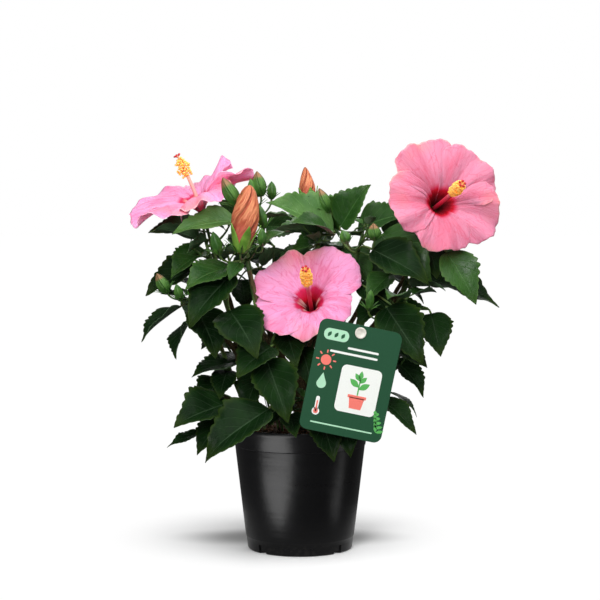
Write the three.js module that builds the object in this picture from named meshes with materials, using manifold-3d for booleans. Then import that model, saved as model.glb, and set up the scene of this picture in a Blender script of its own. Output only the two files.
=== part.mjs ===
// Potted hibiscus shrub: a nursery pot with its soil, two stems, their boughs, the leafy masses
// at the boughs' ends, three open blooms and a care tag that hangs from one bough.
// Millimetres, X to the right, Y away from the front, Z up. The origin is the middle of the
// pot's flat underside. The masses are grown by rule: shoots, buds and the leaves that show in
// front stand at named places, and a seeded spiral of leaves fills each shoot. A mass keeps to
// the space that nothing else has claimed.

import * as THREE from 'three';
import { mergeVertices } from 'three/addons/utils/BufferGeometryUtils.js';
import Module from 'manifold-3d';

const wasm = await Module();
wasm.setup();

const { clamp, degToRad, lerp } = THREE.MathUtils;

// Driving dimensions

const CLEARANCE = 0.3;

const POT = {
  height: 124.5,
  rimRadius: 68.4,
  footRadius: 52.5,
  wall: 1.5,
  floor: 2,
  bandBottom: 104.5,
  bandStep: 1.2,
  footBandTop: 13,
  footStep: 0.6,
  facets: 30,
};
const NOTCH = { width: 8, height: 8.5, inner: 47, outer: 60, turns: [45, 135, 225, 315] };
const SOIL_TOP = 120;

const TAG = {
  width: 79.7,
  height: 107.6,
  corner: 7.5,
  thickness: 1,
  middle: [48.2, -102, 180.5],
  tilt: 11.7,
  holeRadius: 4.8,
  holeFromMiddle: 46.5,
};
const PEG = {
  headRadius: 5.4,
  headDepth: 0.8,
  flangeRadius: 7,
  flangeDepth: 1.6,
  armRadius: 2,
  sides: 16,
  along: 0.62,
};

const GOLDEN_TURN = 137.5;
const LEAF = {
  widthRatio: 0.66,
  droop: 35,
  fold: 14,
  thickness: 0.025,
  face: new THREE.Vector3(-0.1, -0.6, 0.8),
};
const SHOOT = { radius: 1.9, tipRadius: 1.2, sides: 3, steps: 2 };
const FINE = { stations: [0.72, 0.4, 0.14], stalk: [1, 0.5, 0.04] };
const PLAIN = { stations: [0.6, 0.2], stalk: [1, 0.04] };
const STALK = { radius: 0.85, longest: 75, lowest: 0.3 };
const SPIRAL = { spacing: 8, stalk: 20, rise: 34, pitch: -18, turns: [0, 40, -40, 80, -80] };
const DEPTH_SHIFTS = [0, -6, 6, -12, 12, -18, 18, -24, 24, -32, 32];

// Claims on the crown's space: the size of a cell, the skin round each piece, how far leaves keep
// off the pot and the ground, and how many points sample a blade or petal each way.
const CELL = 4;
const SKIN = 0.6;
const KEEP_OFF = 4;
const SAMPLES = { along: 24, across: 8, barStep: 2 };

// Limbs: start (on the soil, or a parent and how far along it), bend, tip, and radii

const LIMBS = [
  {
    name: 'stem_main', from: [2, 4, 108],
    bend: [-4, 3, 150], to: [0, 2, 192], radii: [6.5, 4.4], flare: 4,
  },
  {
    name: 'stem_left', from: [-38, -8, 108],
    bend: [-61, -8, 165], to: [-66, -8, 232], radii: [4.2, 2.9], flare: 2.6,
  },
  {
    name: 'bough_left_low', on: 'stem_left', at: 0.3,
    bend: [-62, -20, 150], to: [-76, -26, 156], radii: [2.4, 1.9],
  },
  {
    name: 'bough_left_mid', on: 'stem_left', at: 0.72,
    bend: [-74, -22, 214], to: [-90, -30, 238], radii: [2.6, 2],
  },
  {
    name: 'bough_left_high', on: 'stem_left', at: 1,
    bend: [-70, -14, 258], to: [-84, -24, 284], radii: [2.7, 2],
  },
  {
    name: 'bough_left_bloom', on: 'stem_left', at: 0.9,
    bend: [-76, 6, 262], to: [-90, -6, 312], radii: [2.3, 1.9],
  },
  {
    name: 'bough_peach', on: 'stem_main', at: 0.72,
    bend: [-30, -40, 205], to: [-50, -44, 282], radii: [3.4, 2.2],
  },
  {
    name: 'bough_top', on: 'stem_main', at: 1,
    bend: [2, 6, 245], to: [14, -2, 290], radii: [3.6, 2.2],
  },
  {
    name: 'bough_centre', on: 'stem_main', at: 0.97,
    bend: [-8, 16, 226], to: [-22, 18, 262], radii: [3, 2],
  },
  {
    name: 'bough_right_top', on: 'stem_main', at: 0.92,
    bend: [34, -2, 235], to: [54, -14, 290], radii: [3.2, 2.1],
  },
  {
    name: 'bough_right', on: 'stem_main', at: 0.62,
    bend: [66, 6, 205], to: [104, -4, 262], radii: [3.4, 2.2],
  },
  {
    name: 'bough_right_bloom', on: 'bough_right', at: 0.62,
    bend: [108, 14, 268], to: [124, -6, 318], radii: [2.2, 1.9],
  },
  {
    name: 'bough_right_mid', on: 'stem_main', at: 0.56,
    bend: [44, -64, 186], to: [84, -58, 228], radii: [3.2, 2],
  },
  {
    name: 'bough_right_low', on: 'stem_main', at: 0.3,
    bend: [52, -14, 150], to: [82, -28, 176], radii: [2.8, 2],
  },
  {
    name: 'bough_front', on: 'stem_main', at: 0.84,
    bend: [4, -10, 192], to: [12, -4, 212], radii: [2.6, 2],
  },
  {
    name: 'bough_front_left', on: 'stem_main', at: 0.42,
    bend: [-18, -34, 160], to: [-28, -50, 198], radii: [2.8, 2],
  },
  {
    name: 'bough_front_low', on: 'stem_main', at: 0.2,
    bend: [6, -22, 132], to: [14, -38, 141], radii: [2.4, 1.9],
  },
  {
    name: 'bough_back_left', on: 'stem_main', at: 0.78,
    bend: [-34, 34, 200], to: [-56, 44, 246], radii: [3.2, 2.1],
  },
  {
    name: 'bough_back', on: 'stem_main', at: 0.9,
    bend: [4, 46, 215], to: [6, 56, 268], radii: [3.2, 2.1],
  },
  {
    name: 'bough_back_right', on: 'stem_main', at: 0.68,
    bend: [44, 40, 200], to: [66, 48, 250], radii: [3.2, 2.1],
  },
  {
    name: 'bough_back_low_left', on: 'stem_main', at: 0.34,
    bend: [-30, 34, 150], to: [-52, 46, 172], radii: [2.6, 1.9],
  },
  {
    name: 'bough_back_low_right', on: 'stem_main', at: 0.46,
    bend: [30, 36, 158], to: [50, 52, 180], radii: [2.6, 1.9],
  },
];

// Masses: the shoot's tip, its side shoots, the length of its lower leaves, and a seed.
// A shown leaf is the foot of its blade, its tip, and the roll of its face in degrees.
// A bud is its foot, its tip and its width.

const MASSES = [
  {
    name: 'leaves_left_high', bough: 'bough_left_high', tip: [-96, -22, 328],
    sideShoots: 2, sideLength: 30, leaf: 52, seed: 11, turn: 200,
    shown: [
      [-101, -20, 312, -148, -42, 322, 57],
      [-92, -36, 312, -110, -60, 300, 70],
      [-102, -2, 284, -153, -25, 256, 0, 0.6],
      [-94, -18, 301, -127, -50, 276, 0],
    ],
    buds: [],
  },
  {
    name: 'leaves_left_mid', bough: 'bough_left_mid', tip: [-112, -40, 254],
    sideShoots: 1, sideLength: 24, leaf: 50, seed: 23, turn: 120,
    shown: [
      [-120, -18, 244, -156, -44, 212, 35],
      [-109, -22, 231, -122, -54, 196, 50],
      [-112, -40, 255, -136, -54, 260, 0, 0.5],
      [-100, -50, 244, -80, -82, 200, -20, 0.8],
    ],
    buds: [[-129, -50, 261, -139, -52, 280, 14], [-116, -58, 254, -120, -62, 270, 10]],
  },
  {
    name: 'leaves_left_low', bough: 'bough_left_low', tip: [-86, -30, 176],
    sideShoots: 1, sideLength: 26, leaf: 52, seed: 31, turn: 40,
    shown: [
      [-64, -26, 190, -106, -56, 179, 10, 0.7],
      [-72, -44, 182, -78, -78, 158, 0],
      [-80, -12, 172, -98, -48, 148, 0],
      [-70, -36, 154, -121, -72, 135, 0, 0.75],
      [-97, -34, 121, -130, -56, 111, 0, 0.35],
      [-72, -42, 138, -100, -74, 106, 0],
    ],
    buds: [],
  },
  {
    name: 'leaves_peach', bough: 'bough_peach', tip: [-50, -42, 330],
    sideShoots: 2, sideLength: 28, leaf: 50, seed: 47, turn: 300,
    shown: [
      [-62, -50, 331, -124, -66, 319, 0, 0.55],
      [-70, -34, 286, -111, -68, 267, 0],
      [-67, -52, 279, -107, -84, 231, 0],
      [-58, -66, 291, -68, -84, 276, 0],
      [-68, -34, 244, -40, -80, 203, 0, 0.75],
      [-38, 2, 284, -12, -10, 302, -60],
    ],
    buds: [
      [-60, -76, 346, -74, -80, 373, 16],
      [-46, -40, 340, -48, -44, 372, 12],
      [-38, -24, 355, -42, -22, 379, 15],
      [-28, -26, 352, -28, -24, 369, 10],
      [-57, -76, 301, -48, -84, 366, 28],
      [-35, -55, 324, -40, -57, 347, 11],
      [-78, -66, 299, -84, -70, 321, 12],
      [-36, -74, 308, -37, -80, 325, 10],
    ],
  },
  {
    name: 'leaves_top', bough: 'bough_top', tip: [26, -12, 334],
    sideShoots: 2, sideLength: 28, leaf: 50, seed: 53, turn: 60,
    shown: [
      [26, 4, 318, -32, -14, 316, 35, 0.75],
      [32, -16, 306, -9, -50, 302, 0],
      [33, -16, 320, -33, -38, 349, 0],
      [34, -4, 316, 35, -14, 346, 0, 0.5],
      [29, -34, 320, -7, -66, 333, 0],
    ],
    buds: [
      [9, -10, 344, 5, -10, 383, 19],
      [27, -22, 338, 19, -24, 362, 16],
      [33, -8, 341, 30, -6, 356, 11],
    ],
  },
  {
    name: 'leaves_centre', bough: 'bough_centre', tip: [-26, 14, 304],
    sideShoots: 2, sideLength: 28, leaf: 54, seed: 59, turn: 190,
    shown: [
      [-34, 14, 323, 4, 0, 320, 30],
      [-18, 12, 298, 20, 0, 276, 0],
      [-32, 16, 296, -72, 0, 280, 0],
    ],
    buds: [],
  },
  {
    name: 'leaves_right_top', bough: 'bough_right_top', tip: [64, -18, 326],
    sideShoots: 2, sideLength: 26, leaf: 50, seed: 61, turn: 150,
    shown: [
      [40, -22, 325, 68, -38, 367, 15, 0.75],
      [58, 2, 322, 108, -16, 336, 0, 0.8],
      [86, 2, 316, 106, -18, 333, -60],
      [80, -22, 316, 129, -54, 272, 10, 0.75],
      [46, -10, 300, 72, -36, 264, 0],
      [71, -50, 303, 125, -76, 272, 10],
      [88, -40, 278, 64, -64, 254, 0],
    ],
    buds: [[72, -60, 313, 71, -64, 329, 15], [46, -52, 310, 41, -56, 322, 12]],
  },
  {
    name: 'leaves_right', bough: 'bough_right', tip: [128, 2, 290],
    sideShoots: 2, sideLength: 30, leaf: 54, seed: 71, turn: 250,
    shown: [
      [128, -16, 306, 134, -46, 274, 0],
      [142, 8, 306, 139, -24, 272, 0],
      [143, -34, 300, 171, -50, 250, 0],
      [122, -12, 273, 199, -30, 244, -10],
      [110, -16, 265, 144, -40, 264, -60],
    ],
    buds: [],
  },
  {
    name: 'leaves_right_mid', bough: 'bough_right_mid', tip: [104, -56, 256],
    sideShoots: 1, sideLength: 24, leaf: 52, seed: 83, turn: 20,
    shown: [
      [84, -66, 247, 118, -100, 195, 10],
      [88, -36, 236, 126, -58, 246, 0],
      [58, -40, 268, 92, -56, 240, 0],
      [129, -34, 239, 137, -60, 199, 0, 0.75],
      [80, -40, 250, 56, -62, 226, 0],
    ],
    buds: [[66, -58, 246, 68, -66, 266, 9]],
  },
  {
    name: 'leaves_right_low', bough: 'bough_right_low', tip: [98, -34, 196],
    sideShoots: 1, sideLength: 26, leaf: 48, seed: 97, turn: 330,
    shown: [
      [96, -46, 208, 123, -74, 190, 0],
      [94, -34, 194, 122, -54, 159, -20, 0.6],
      [88, -24, 162, 115, -48, 142, -40, 0.4],
      [80, -42, 158, 112, -66, 127, -10, 0.5],
    ],
    buds: [],
  },
  {
    name: 'leaves_front', bough: 'bough_front_left', tip: [-24, -56, 222],
    sideShoots: 1, sideLength: 22, leaf: 52, seed: 101, turn: 90,
    shown: [
      [-32, -74, 197, -11, -106, 140, 0],
      [-28, -60, 210, -61, -90, 184, 0, 0.85],
      [-14, -46, 222, -3, -84, 191, 0],
      [-30, -64, 153, -92, -92, 107, 0],
      [-40, -48, 182, -54, -74, 142, 0],
      [2, -40, 206, 12, -66, 168, 0],
    ],
    buds: [],
  },
  {
    name: 'leaves_front_low', bough: 'bough_front_low', tip: [30, -58, 162],
    sideShoots: 1, sideLength: 20, leaf: 44, seed: 113, turn: 210,
    shown: [
      [20, -60, 143, 33, -88, 100, 0],
      [42, -60, 140, 49, -84, 104, 0],
      [-10, -56, 142, -4, -86, 124, 0],
      [-6, -40, 150, -32, -58, 130, 0],
    ],
    buds: [],
  },
  {
    name: 'leaves_back_left', bough: 'bough_back_left', tip: [-76, 58, 296],
    sideShoots: 3, sideLength: 30, leaf: 56, seed: 127, turn: 30,
    shown: [[-100, 24, 318, -152, 2, 318, 0], [-68, 14, 328, -84, 0, 352, 0]],
    buds: [],
  },
  {
    name: 'leaves_back', bough: 'bough_back', tip: [6, 62, 318],
    sideShoots: 3, sideLength: 30, leaf: 56, seed: 131, turn: 75,
    shown: [], buds: [[12, 66, 334, 14, 70, 356, 13]],
  },
  {
    name: 'leaves_back_right', bough: 'bough_back_right', tip: [92, 52, 292],
    sideShoots: 3, sideLength: 30, leaf: 56, seed: 139, turn: 10,
    shown: [], buds: [[96, 58, 312, 98, 62, 332, 12]],
  },
  {
    name: 'leaves_back_low_left', bough: 'bough_back_low_left', tip: [-72, 54, 204],
    sideShoots: 2, sideLength: 28, leaf: 56, seed: 149, turn: 100,
    shown: [], buds: [],
  },
  {
    name: 'leaves_back_low_right', bough: 'bough_back_low_right', tip: [76, 60, 208],
    sideShoots: 2, sideLength: 28, leaf: 56, seed: 151, turn: 45,
    shown: [], buds: [],
  },
];

// Blooms: foot of the petals, the way the bloom faces, its depth and how far it spreads.
// The column ends at columnTip. A petal is its turn round the axis from the right side, in degrees,
// its share of the spread, how far its edge rises ahead of the others, and how far one side of it
// rises ahead of the other where that isn't the usual lap.

const BLOOMS = [
  {
    name: 'bloom_left', bough: 'bough_left_bloom', foot: [-97, -15, 338], facing: [-0.3, 0.05, 0.94],
    depth: 20, spread: 65, columnTip: [-120, -20, 392],
    petals: [[4, 1, 0, -6], [60, 0.82, 20, -5], [150, 1.04, 7, -12], [206, 1.14, -6, -15], [284, 0.84, 1, 7]],
  },
  {
    name: 'bloom_front', bough: 'bough_front', foot: [12, -30, 240], facing: [-0.1, -0.82, 0.56],
    depth: 30, spread: 55, columnTip: [5, -100, 286],
    petals: [[138, 1.1], [55, 1.14], [-20, 0.8], [-88, 0.85], [205, 1]],
  },
  {
    name: 'bloom_right', bough: 'bough_right_bloom', foot: [131, -22, 341], facing: [0.3, -0.9, 0.32],
    depth: 31, spread: 60, columnTip: [153, -98, 367],
    petals: [[112, 1.1], [47, 1.08], [-14, 1.03], [-94, 0.9], [187, 0.98]],
  },
];
// A bud is a pointed egg: how far along it each ring lies, and how wide it is there.
const EGG = { sides: 5, rings: [[0.72, 0.6], [0.35, 1]], side: new THREE.Vector3(0.3, 1, 0.1) };
const PETAL = {
  halfTurn: 50, lap: 3, tubeRadius: 3, thickness: 1.2, wave: 2.6, waves: 2.5, across: 3, along: 4,
};
const CALYX = { length: 17, radius: 6.2, rootRadius: 2.4, above: 4 };
const COLUMN = { rootRadius: 2.4, radius: 1.7, brushRadius: 6.2, brushStart: 0.7, brushEnd: 0.99 };

// The leafy part of the crown from the front: at each height, how far it reaches left and right.
// Its depth is a share of its width. Gaps that stay open are boxes in the same view.

const CROWN = [
  [96, -100, 60], [126, -104, 92], [158, -98, 98], [190, -96, 120], [222, -112, 140],
  [254, -126, 138], [278, -140, 166], [310, -120, 150], [335, -112, 104], [350, -34, 76], [362, -20, 68],
];
const CROWN_DEPTH = 0.92;
const OPEN_GAPS = [[-26, 2, 299, 314], [-93, -76, 247, 255], [-74, -58, 144, 170]];

const COLOURS = {
  pot: 0x1b1b1d,
  soil: 0x4a3324,
  bark: 0x6a5a3c,
  leaf: 0x2f5a26,
  petal: 0xee7fae,
  tag: 0x264633,
  peg: 0xdcd7cc,
};

// Vectors, solids and chance

const UP = vec(0, 0, 1);
const FRONT = vec(0, -1, 0);
const ORIGIN = vec(0, 0, 0);

function vec(x, y, z) {
  return new THREE.Vector3(x, y, z);
}

// The point reached from another by steps of a direction and a distance each.
function along(origin, ...steps) {
  const point = origin.clone();
  for (const [direction, distance] of steps) point.addScaledVector(direction, distance);
  return point;
}

function crossed(a, b) {
  return vec().crossVectors(a, b).normalize();
}

function solidOf(geometry) {
  const bare = geometry.clone();
  bare.deleteAttribute('normal');
  bare.deleteAttribute('uv');
  const merged = mergeVertices(bare, 1e-4);
  return new wasm.Manifold(new wasm.Mesh({
    numProp: 3,
    vertProperties: new Float32Array(merged.attributes.position.array),
    triVerts: new Uint32Array(merged.index.array),
  }));
}

function geometryOf(solid) {
  const mesh = solid.getMesh();
  const geometry = new THREE.BufferGeometry();
  const corners = new Float32Array(mesh.vertProperties);
  geometry.setAttribute('position', new THREE.BufferAttribute(corners, 3));
  geometry.setIndex(new THREE.BufferAttribute(new Uint32Array(mesh.triVerts), 1));
  return geometry;
}

// Fuses solids and keeps the one large body, without loose scraps or sealed hollows.
function fuse(solids) {
  const bodies = wasm.Manifold.union(solids).simplify(0.01).decompose();
  return bodies.reduce((largest, body) => (body.volume() > largest.volume() ? body : largest));
}

function largestBody(solid) {
  return fuse([solid]);
}

// A repeatable stream of numbers between 0 and 1.
function chance(seed) {
  let state = seed;
  return () => {
    state = (Math.imul(state, 1664525) + 1013904223) >>> 0;
    return state / 2 ** 32;
  };
}

// A round bar bent along a curve: each ring of a unit cylinder moves to its place.
// Where the skin is grown, the ends are drawn out by as much.
function bentBar(curve, radiusAt, sides, steps, grow = 0) {
  const bar = new THREE.CylinderGeometry(1, 1, 1, sides, steps);
  const position = bar.attributes.position;
  const chord = vec().subVectors(curve.getPoint(1), curve.getPoint(0));
  const bow = vec().subVectors(curve.getPoint(0.5), curve.getPoint(0));
  const bowed = vec().crossVectors(bow, chord);
  const isStraight = bowed.length() < 1e-3 * chord.lengthSq();
  const level = Math.abs(chord.z) > Math.abs(chord.x) ? vec(1, 0, 0) : vec(0, 0, 1);
  const guide = (isStraight ? vec().crossVectors(chord, level) : bowed).normalize();
  for (let i = 0; i < position.count; i += 1) {
    const t = position.getY(i) + 0.5;
    const tangent = curve.getTangent(t);
    const across = along(guide, [tangent, -guide.dot(tangent)]).normalize();
    const radius = radiusAt(t) + grow;
    const end = Math.round(t * 2 - 1) === t * 2 - 1 ? (t * 2 - 1) * grow : 0;
    const point = along(
      curve.getPoint(t),
      [across, position.getX(i) * radius],
      [crossed(across, tangent), position.getZ(i) * radius],
      [tangent, end],
    );
    position.setXYZ(i, point.x, point.y, point.z);
  }
  return bar;
}

function taper(start, end) {
  return (t) => lerp(start, end, t);
}

// A closed skin over rings, from a tip to a root: a coarse ball's circles move to the rings.
// A ring is a point and one spoke for each side of the ball, and the two ends are single points.
function skinOver(rings, sides) {
  const ball = new THREE.SphereGeometry(1, sides, rings.length - 1);
  const position = ball.attributes.position;
  for (let i = 0; i < position.count; i += 1) {
    const row = Math.round((Math.acos(clamp(position.getY(i), -1, 1)) / Math.PI) * (rings.length - 1));
    const turn = Math.atan2(position.getZ(i), position.getX(i)) / (2 * Math.PI);
    const { point, spokes } = rings[row];
    const corner = spokes ? along(point, [spokes[(Math.round(turn * sides) + sides) % sides], 1]) : point;
    position.setXYZ(i, corner.x, corner.y, corner.z);
  }
  return ball;
}

// Space: cells of the crown, each taken by one owner only

class Space {
  constructor() {
    this.owners = new Map();
    this.blades = new Set();
  }

  cellOf(point) {
    return [point.x, point.y, point.z].map((value) => Math.floor(value / CELL)).join(' ');
  }

  // Free for an owner: nobody else's, and with no blade in it where blades must keep apart.
  isFree(points, owner, apart = false) {
    return points.every((point) => {
      const cell = this.cellOf(point);
      const holder = this.owners.get(cell);
      return (holder === undefined || holder === owner) && !(apart && this.blades.has(cell));
    });
  }

  take(points, owner, isBlade = false) {
    for (const point of points) {
      const cell = this.cellOf(point);
      if (!this.owners.has(cell)) this.owners.set(cell, owner);
      if (isBlade) this.blades.add(cell);
    }
  }
}

const space = new Space();

// Places on a blade or petal: from 0 to 1 along it, and from -1 to 1 across it.
function sampleGrid() {
  const places = [];
  for (let i = 0; i <= SAMPLES.along; i += 1) {
    for (let j = -SAMPLES.across; j <= SAMPLES.across; j += 1) {
      places.push([i / SAMPLES.along, j / SAMPLES.across]);
    }
  }
  return places;
}

// Points on and just outside a round bar, for claiming its space.
function barPoints(curve, radiusAt, start = 0) {
  const points = [];
  const steps = Math.ceil(curve.getLength() / SAMPLES.barStep);
  for (let i = 0; i <= steps; i += 1) {
    const t = lerp(start, 1, i / steps);
    const middle = curve.getPoint(t);
    const reach = radiusAt(t) + SKIN;
    points.push(middle);
    for (const [x, y, z] of [[1, 0, 0], [-1, 0, 0], [0, 1, 0], [0, -1, 0], [0, 0, 1], [0, 0, -1]]) {
      points.push(vec(middle.x + x * reach, middle.y + y * reach, middle.z + z * reach));
    }
  }
  return points;
}

function isInPot(point) {
  return point.z < POT.height + KEEP_OFF && Math.hypot(point.x, point.y) < POT.rimRadius + KEEP_OFF;
}

function isOnTheTable(point) {
  return point.z < KEEP_OFF;
}

function isInCrown(point) {
  const top = CROWN.length - 1;
  if (point.z < CROWN[0][0] || point.z > CROWN[top][0]) return false;
  const row = clamp(CROWN.findIndex(([height]) => height >= point.z), 1, top);
  const [low, lowLeft, lowRight] = CROWN[row - 1];
  const [high, highLeft, highRight] = CROWN[row];
  const share = (point.z - low) / (high - low);
  const left = lerp(lowLeft, highLeft, share);
  const right = lerp(lowRight, highRight, share);
  const halfWidth = (right - left) / 2;
  const across = (point.x - (left + right) / 2) / halfWidth;
  const deep = point.y / Math.max(halfWidth * CROWN_DEPTH, 60);
  return across ** 2 + deep ** 2 < 1;
}

function isInGap(point) {
  return OPEN_GAPS.some(([left, right, low, high]) => (
    point.x > left && point.x < right && point.z > low && point.z < high
  ));
}

// Pot and soil

function wallRadius(height) {
  return lerp(POT.footRadius, POT.rimRadius - POT.bandStep, height / POT.height);
}

function lathe(rows) {
  const profile = rows.map(([x, y]) => new THREE.Vector2(x, y));
  return new THREE.LatheGeometry(profile, POT.facets).rotateX(Math.PI / 2);
}

function potSolid() {
  const { height, rimRadius, wall, floor, bandBottom, bandStep, footBandTop, footStep } = POT;
  const shell = lathe([
    [0, 0],
    [POT.footRadius - 1, 0],
    [POT.footRadius, 1],
    [wallRadius(footBandTop), footBandTop],
    [wallRadius(footBandTop) + footStep, footBandTop + footStep],
    [wallRadius(bandBottom) + footStep, bandBottom],
    [wallRadius(bandBottom) + bandStep, bandBottom + bandStep - footStep],
    [rimRadius, height - 1],
    [rimRadius - wall / 2, height],
    [rimRadius - wall, height - 0.4],
    [wallRadius(bandBottom) + bandStep - wall, bandBottom + bandStep],
    [wallRadius(bandBottom) + footStep - wall, bandBottom],
    [wallRadius(floor) - wall, floor],
    [0, floor],
  ]);
  let pot = solidOf(shell);
  for (const turn of NOTCH.turns) {
    const notch = new THREE.BoxGeometry(NOTCH.outer - NOTCH.inner, NOTCH.width, NOTCH.height * 2);
    notch.translate((NOTCH.outer + NOTCH.inner) / 2, 0, 0).rotateZ(degToRad(turn));
    pot = pot.subtract(solidOf(notch));
  }
  return pot;
}

function soilSolid() {
  const { wall, floor, bandBottom, bandStep, footStep } = POT;
  const inset = wall + CLEARANCE;
  const soilBottom = floor + CLEARANCE;
  return solidOf(lathe([
    [0, soilBottom],
    [wallRadius(soilBottom) - inset, soilBottom],
    [wallRadius(bandBottom) + footStep - inset, bandBottom + CLEARANCE],
    [wallRadius(bandBottom) + bandStep - inset, bandBottom + bandStep + CLEARANCE],
    [wallRadius(SOIL_TOP) + bandStep - inset, SOIL_TOP],
    [0, SOIL_TOP],
  ]));
}

// Stems and boughs

class Limb {
  constructor({ name, from, on, at, bend, to, radii, flare = 0 }, limbs) {
    this.name = name;
    this.start = on ? limbs.get(on).curve.getPoint(at) : vec(...from);
    this.curve = new THREE.QuadraticBezierCurve3(this.start, vec(...bend), vec(...to));
    this.radiusAt = (t) => lerp(radii[0], radii[1], t) + flare * (1 - t) ** 8;
    this.tipRadius = radii[1];
    this.sides = radii[0] > 4 ? 10 : 6;
    this.steps = radii[0] > 4 ? 7 : 4;
  }

  solid(grow = 0) {
    return solidOf(bentBar(this.curve, this.radiusAt, this.sides, this.steps, grow));
  }
}

// A limb ends clear of every limb that was made before it, and stems stand flat on the soil.
function limbSolid(limb, earlier) {
  const ground = solidOf(new THREE.BoxGeometry(300, 300, 40).translate(0, 0, SOIL_TOP + CLEARANCE - 20));
  const neighbours = earlier.map((other) => other.solid(CLEARANCE));
  return largestBody(limb.solid().subtract(wasm.Manifold.union([ground, ...neighbours])));
}

// Leaves

class Leaf {
  constructor(foot, tip, roll, { widthRatio = LEAF.widthRatio, face = LEAF.face } = {}) {
    this.foot = foot;
    this.tip = tip;
    this.bend = degToRad(LEAF.droop);
    this.fold = degToRad(LEAF.fold);
    const chord = vec().subVectors(tip, foot);
    this.length = (chord.length() * this.bend) / (2 * Math.sin(this.bend / 2));
    this.halfWidth = (this.length * widthRatio) / 2;
    this.heading = chord.normalize();
    const up = along(face, [this.heading, -face.dot(this.heading)]).normalize();
    this.up = up.applyAxisAngle(this.heading, degToRad(roll));
    this.side = crossed(this.heading, this.up);
  }

  rib(u) {
    const turn = this.bend * (u - 0.5);
    const half = this.bend / 2;
    const scale = this.length / this.bend;
    return along(
      this.foot,
      [this.heading, scale * (Math.sin(turn) + Math.sin(half))],
      [this.up, scale * (Math.cos(turn) - Math.cos(half))],
    );
  }

  normal(u) {
    const turn = this.bend * (u - 0.5);
    return along(ORIGIN, [this.up, Math.cos(turn)], [this.heading, Math.sin(turn)]);
  }

  // Half the blade's width: heart-shaped at the foot, drawn out at the tip.
  reach(u) {
    const heart = Math.sin(Math.PI * u ** 0.75) ** 0.75;
    return (this.halfWidth / 0.86) * heart * (1 - 0.3 * u) * (1 - 0.5 * u ** 3);
  }

  // A point of the blade: u from foot to tip, v from one edge to the other, lifted off the face.
  surface(u, v, lift = 0) {
    const reach = u > 0 && u < 1 ? this.reach(u) : 0;
    const normal = this.normal(u);
    return along(
      this.rib(u),
      [this.side, v * reach * Math.cos(this.fold)],
      [normal, Math.abs(v) * reach * Math.sin(this.fold) + lift],
    );
  }

  points() {
    const points = [];
    const lift = (this.length * LEAF.thickness) / 2 + SKIN;
    for (const [u, v] of sampleGrid()) {
      points.push(this.surface(u, v, lift), this.surface(u, v, -lift));
    }
    return points;
  }

  // One body for blade and stalk: a lens-shaped blade that narrows to its four-sided stalk.
  solid(stalk, detail) {
    const rings = [{ point: this.tip }];
    for (const u of detail.stations) {
      const point = this.rib(u);
      const lift = this.normal(u).multiplyScalar((this.length * LEAF.thickness) / 2);
      const right = vec().subVectors(this.surface(u, 1), point);
      const left = vec().subVectors(this.surface(u, -1), point);
      rings.push({ point, spokes: [right, lift, left, lift.clone().negate()] });
    }
    return solidOf(skinOver([...rings, ...stalkRings(stalk, this.side, 4, detail.stalk)], 4));
  }
}

function roundSpokes(across, over, radius, sides) {
  const spokes = [];
  for (let i = 0; i < sides; i += 1) {
    const angle = (2 * Math.PI * i) / sides;
    spokes.push(along(ORIGIN, [across, radius * Math.cos(angle)], [over, radius * Math.sin(angle)]));
  }
  return spokes;
}

// The rings of a stalk from its upper end down to its root, which lies on the shoot's axis.
function stalkRings(stalk, side, sides, places) {
  const rings = places.map((t) => {
    const tangent = stalk.getTangent(t);
    const across = along(side, [tangent, -side.dot(tangent)]).normalize();
    const radius = lerp(STALK.radius * 1.2, STALK.radius, t);
    return { point: stalk.getPoint(t), spokes: roundSpokes(across, crossed(across, tangent), radius, sides) };
  });
  return [...rings, { point: stalk.getPoint(0) }];
}

// A mass grows on a few shoots, and its leaf stalks and buds rise from the nearest point below

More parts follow.
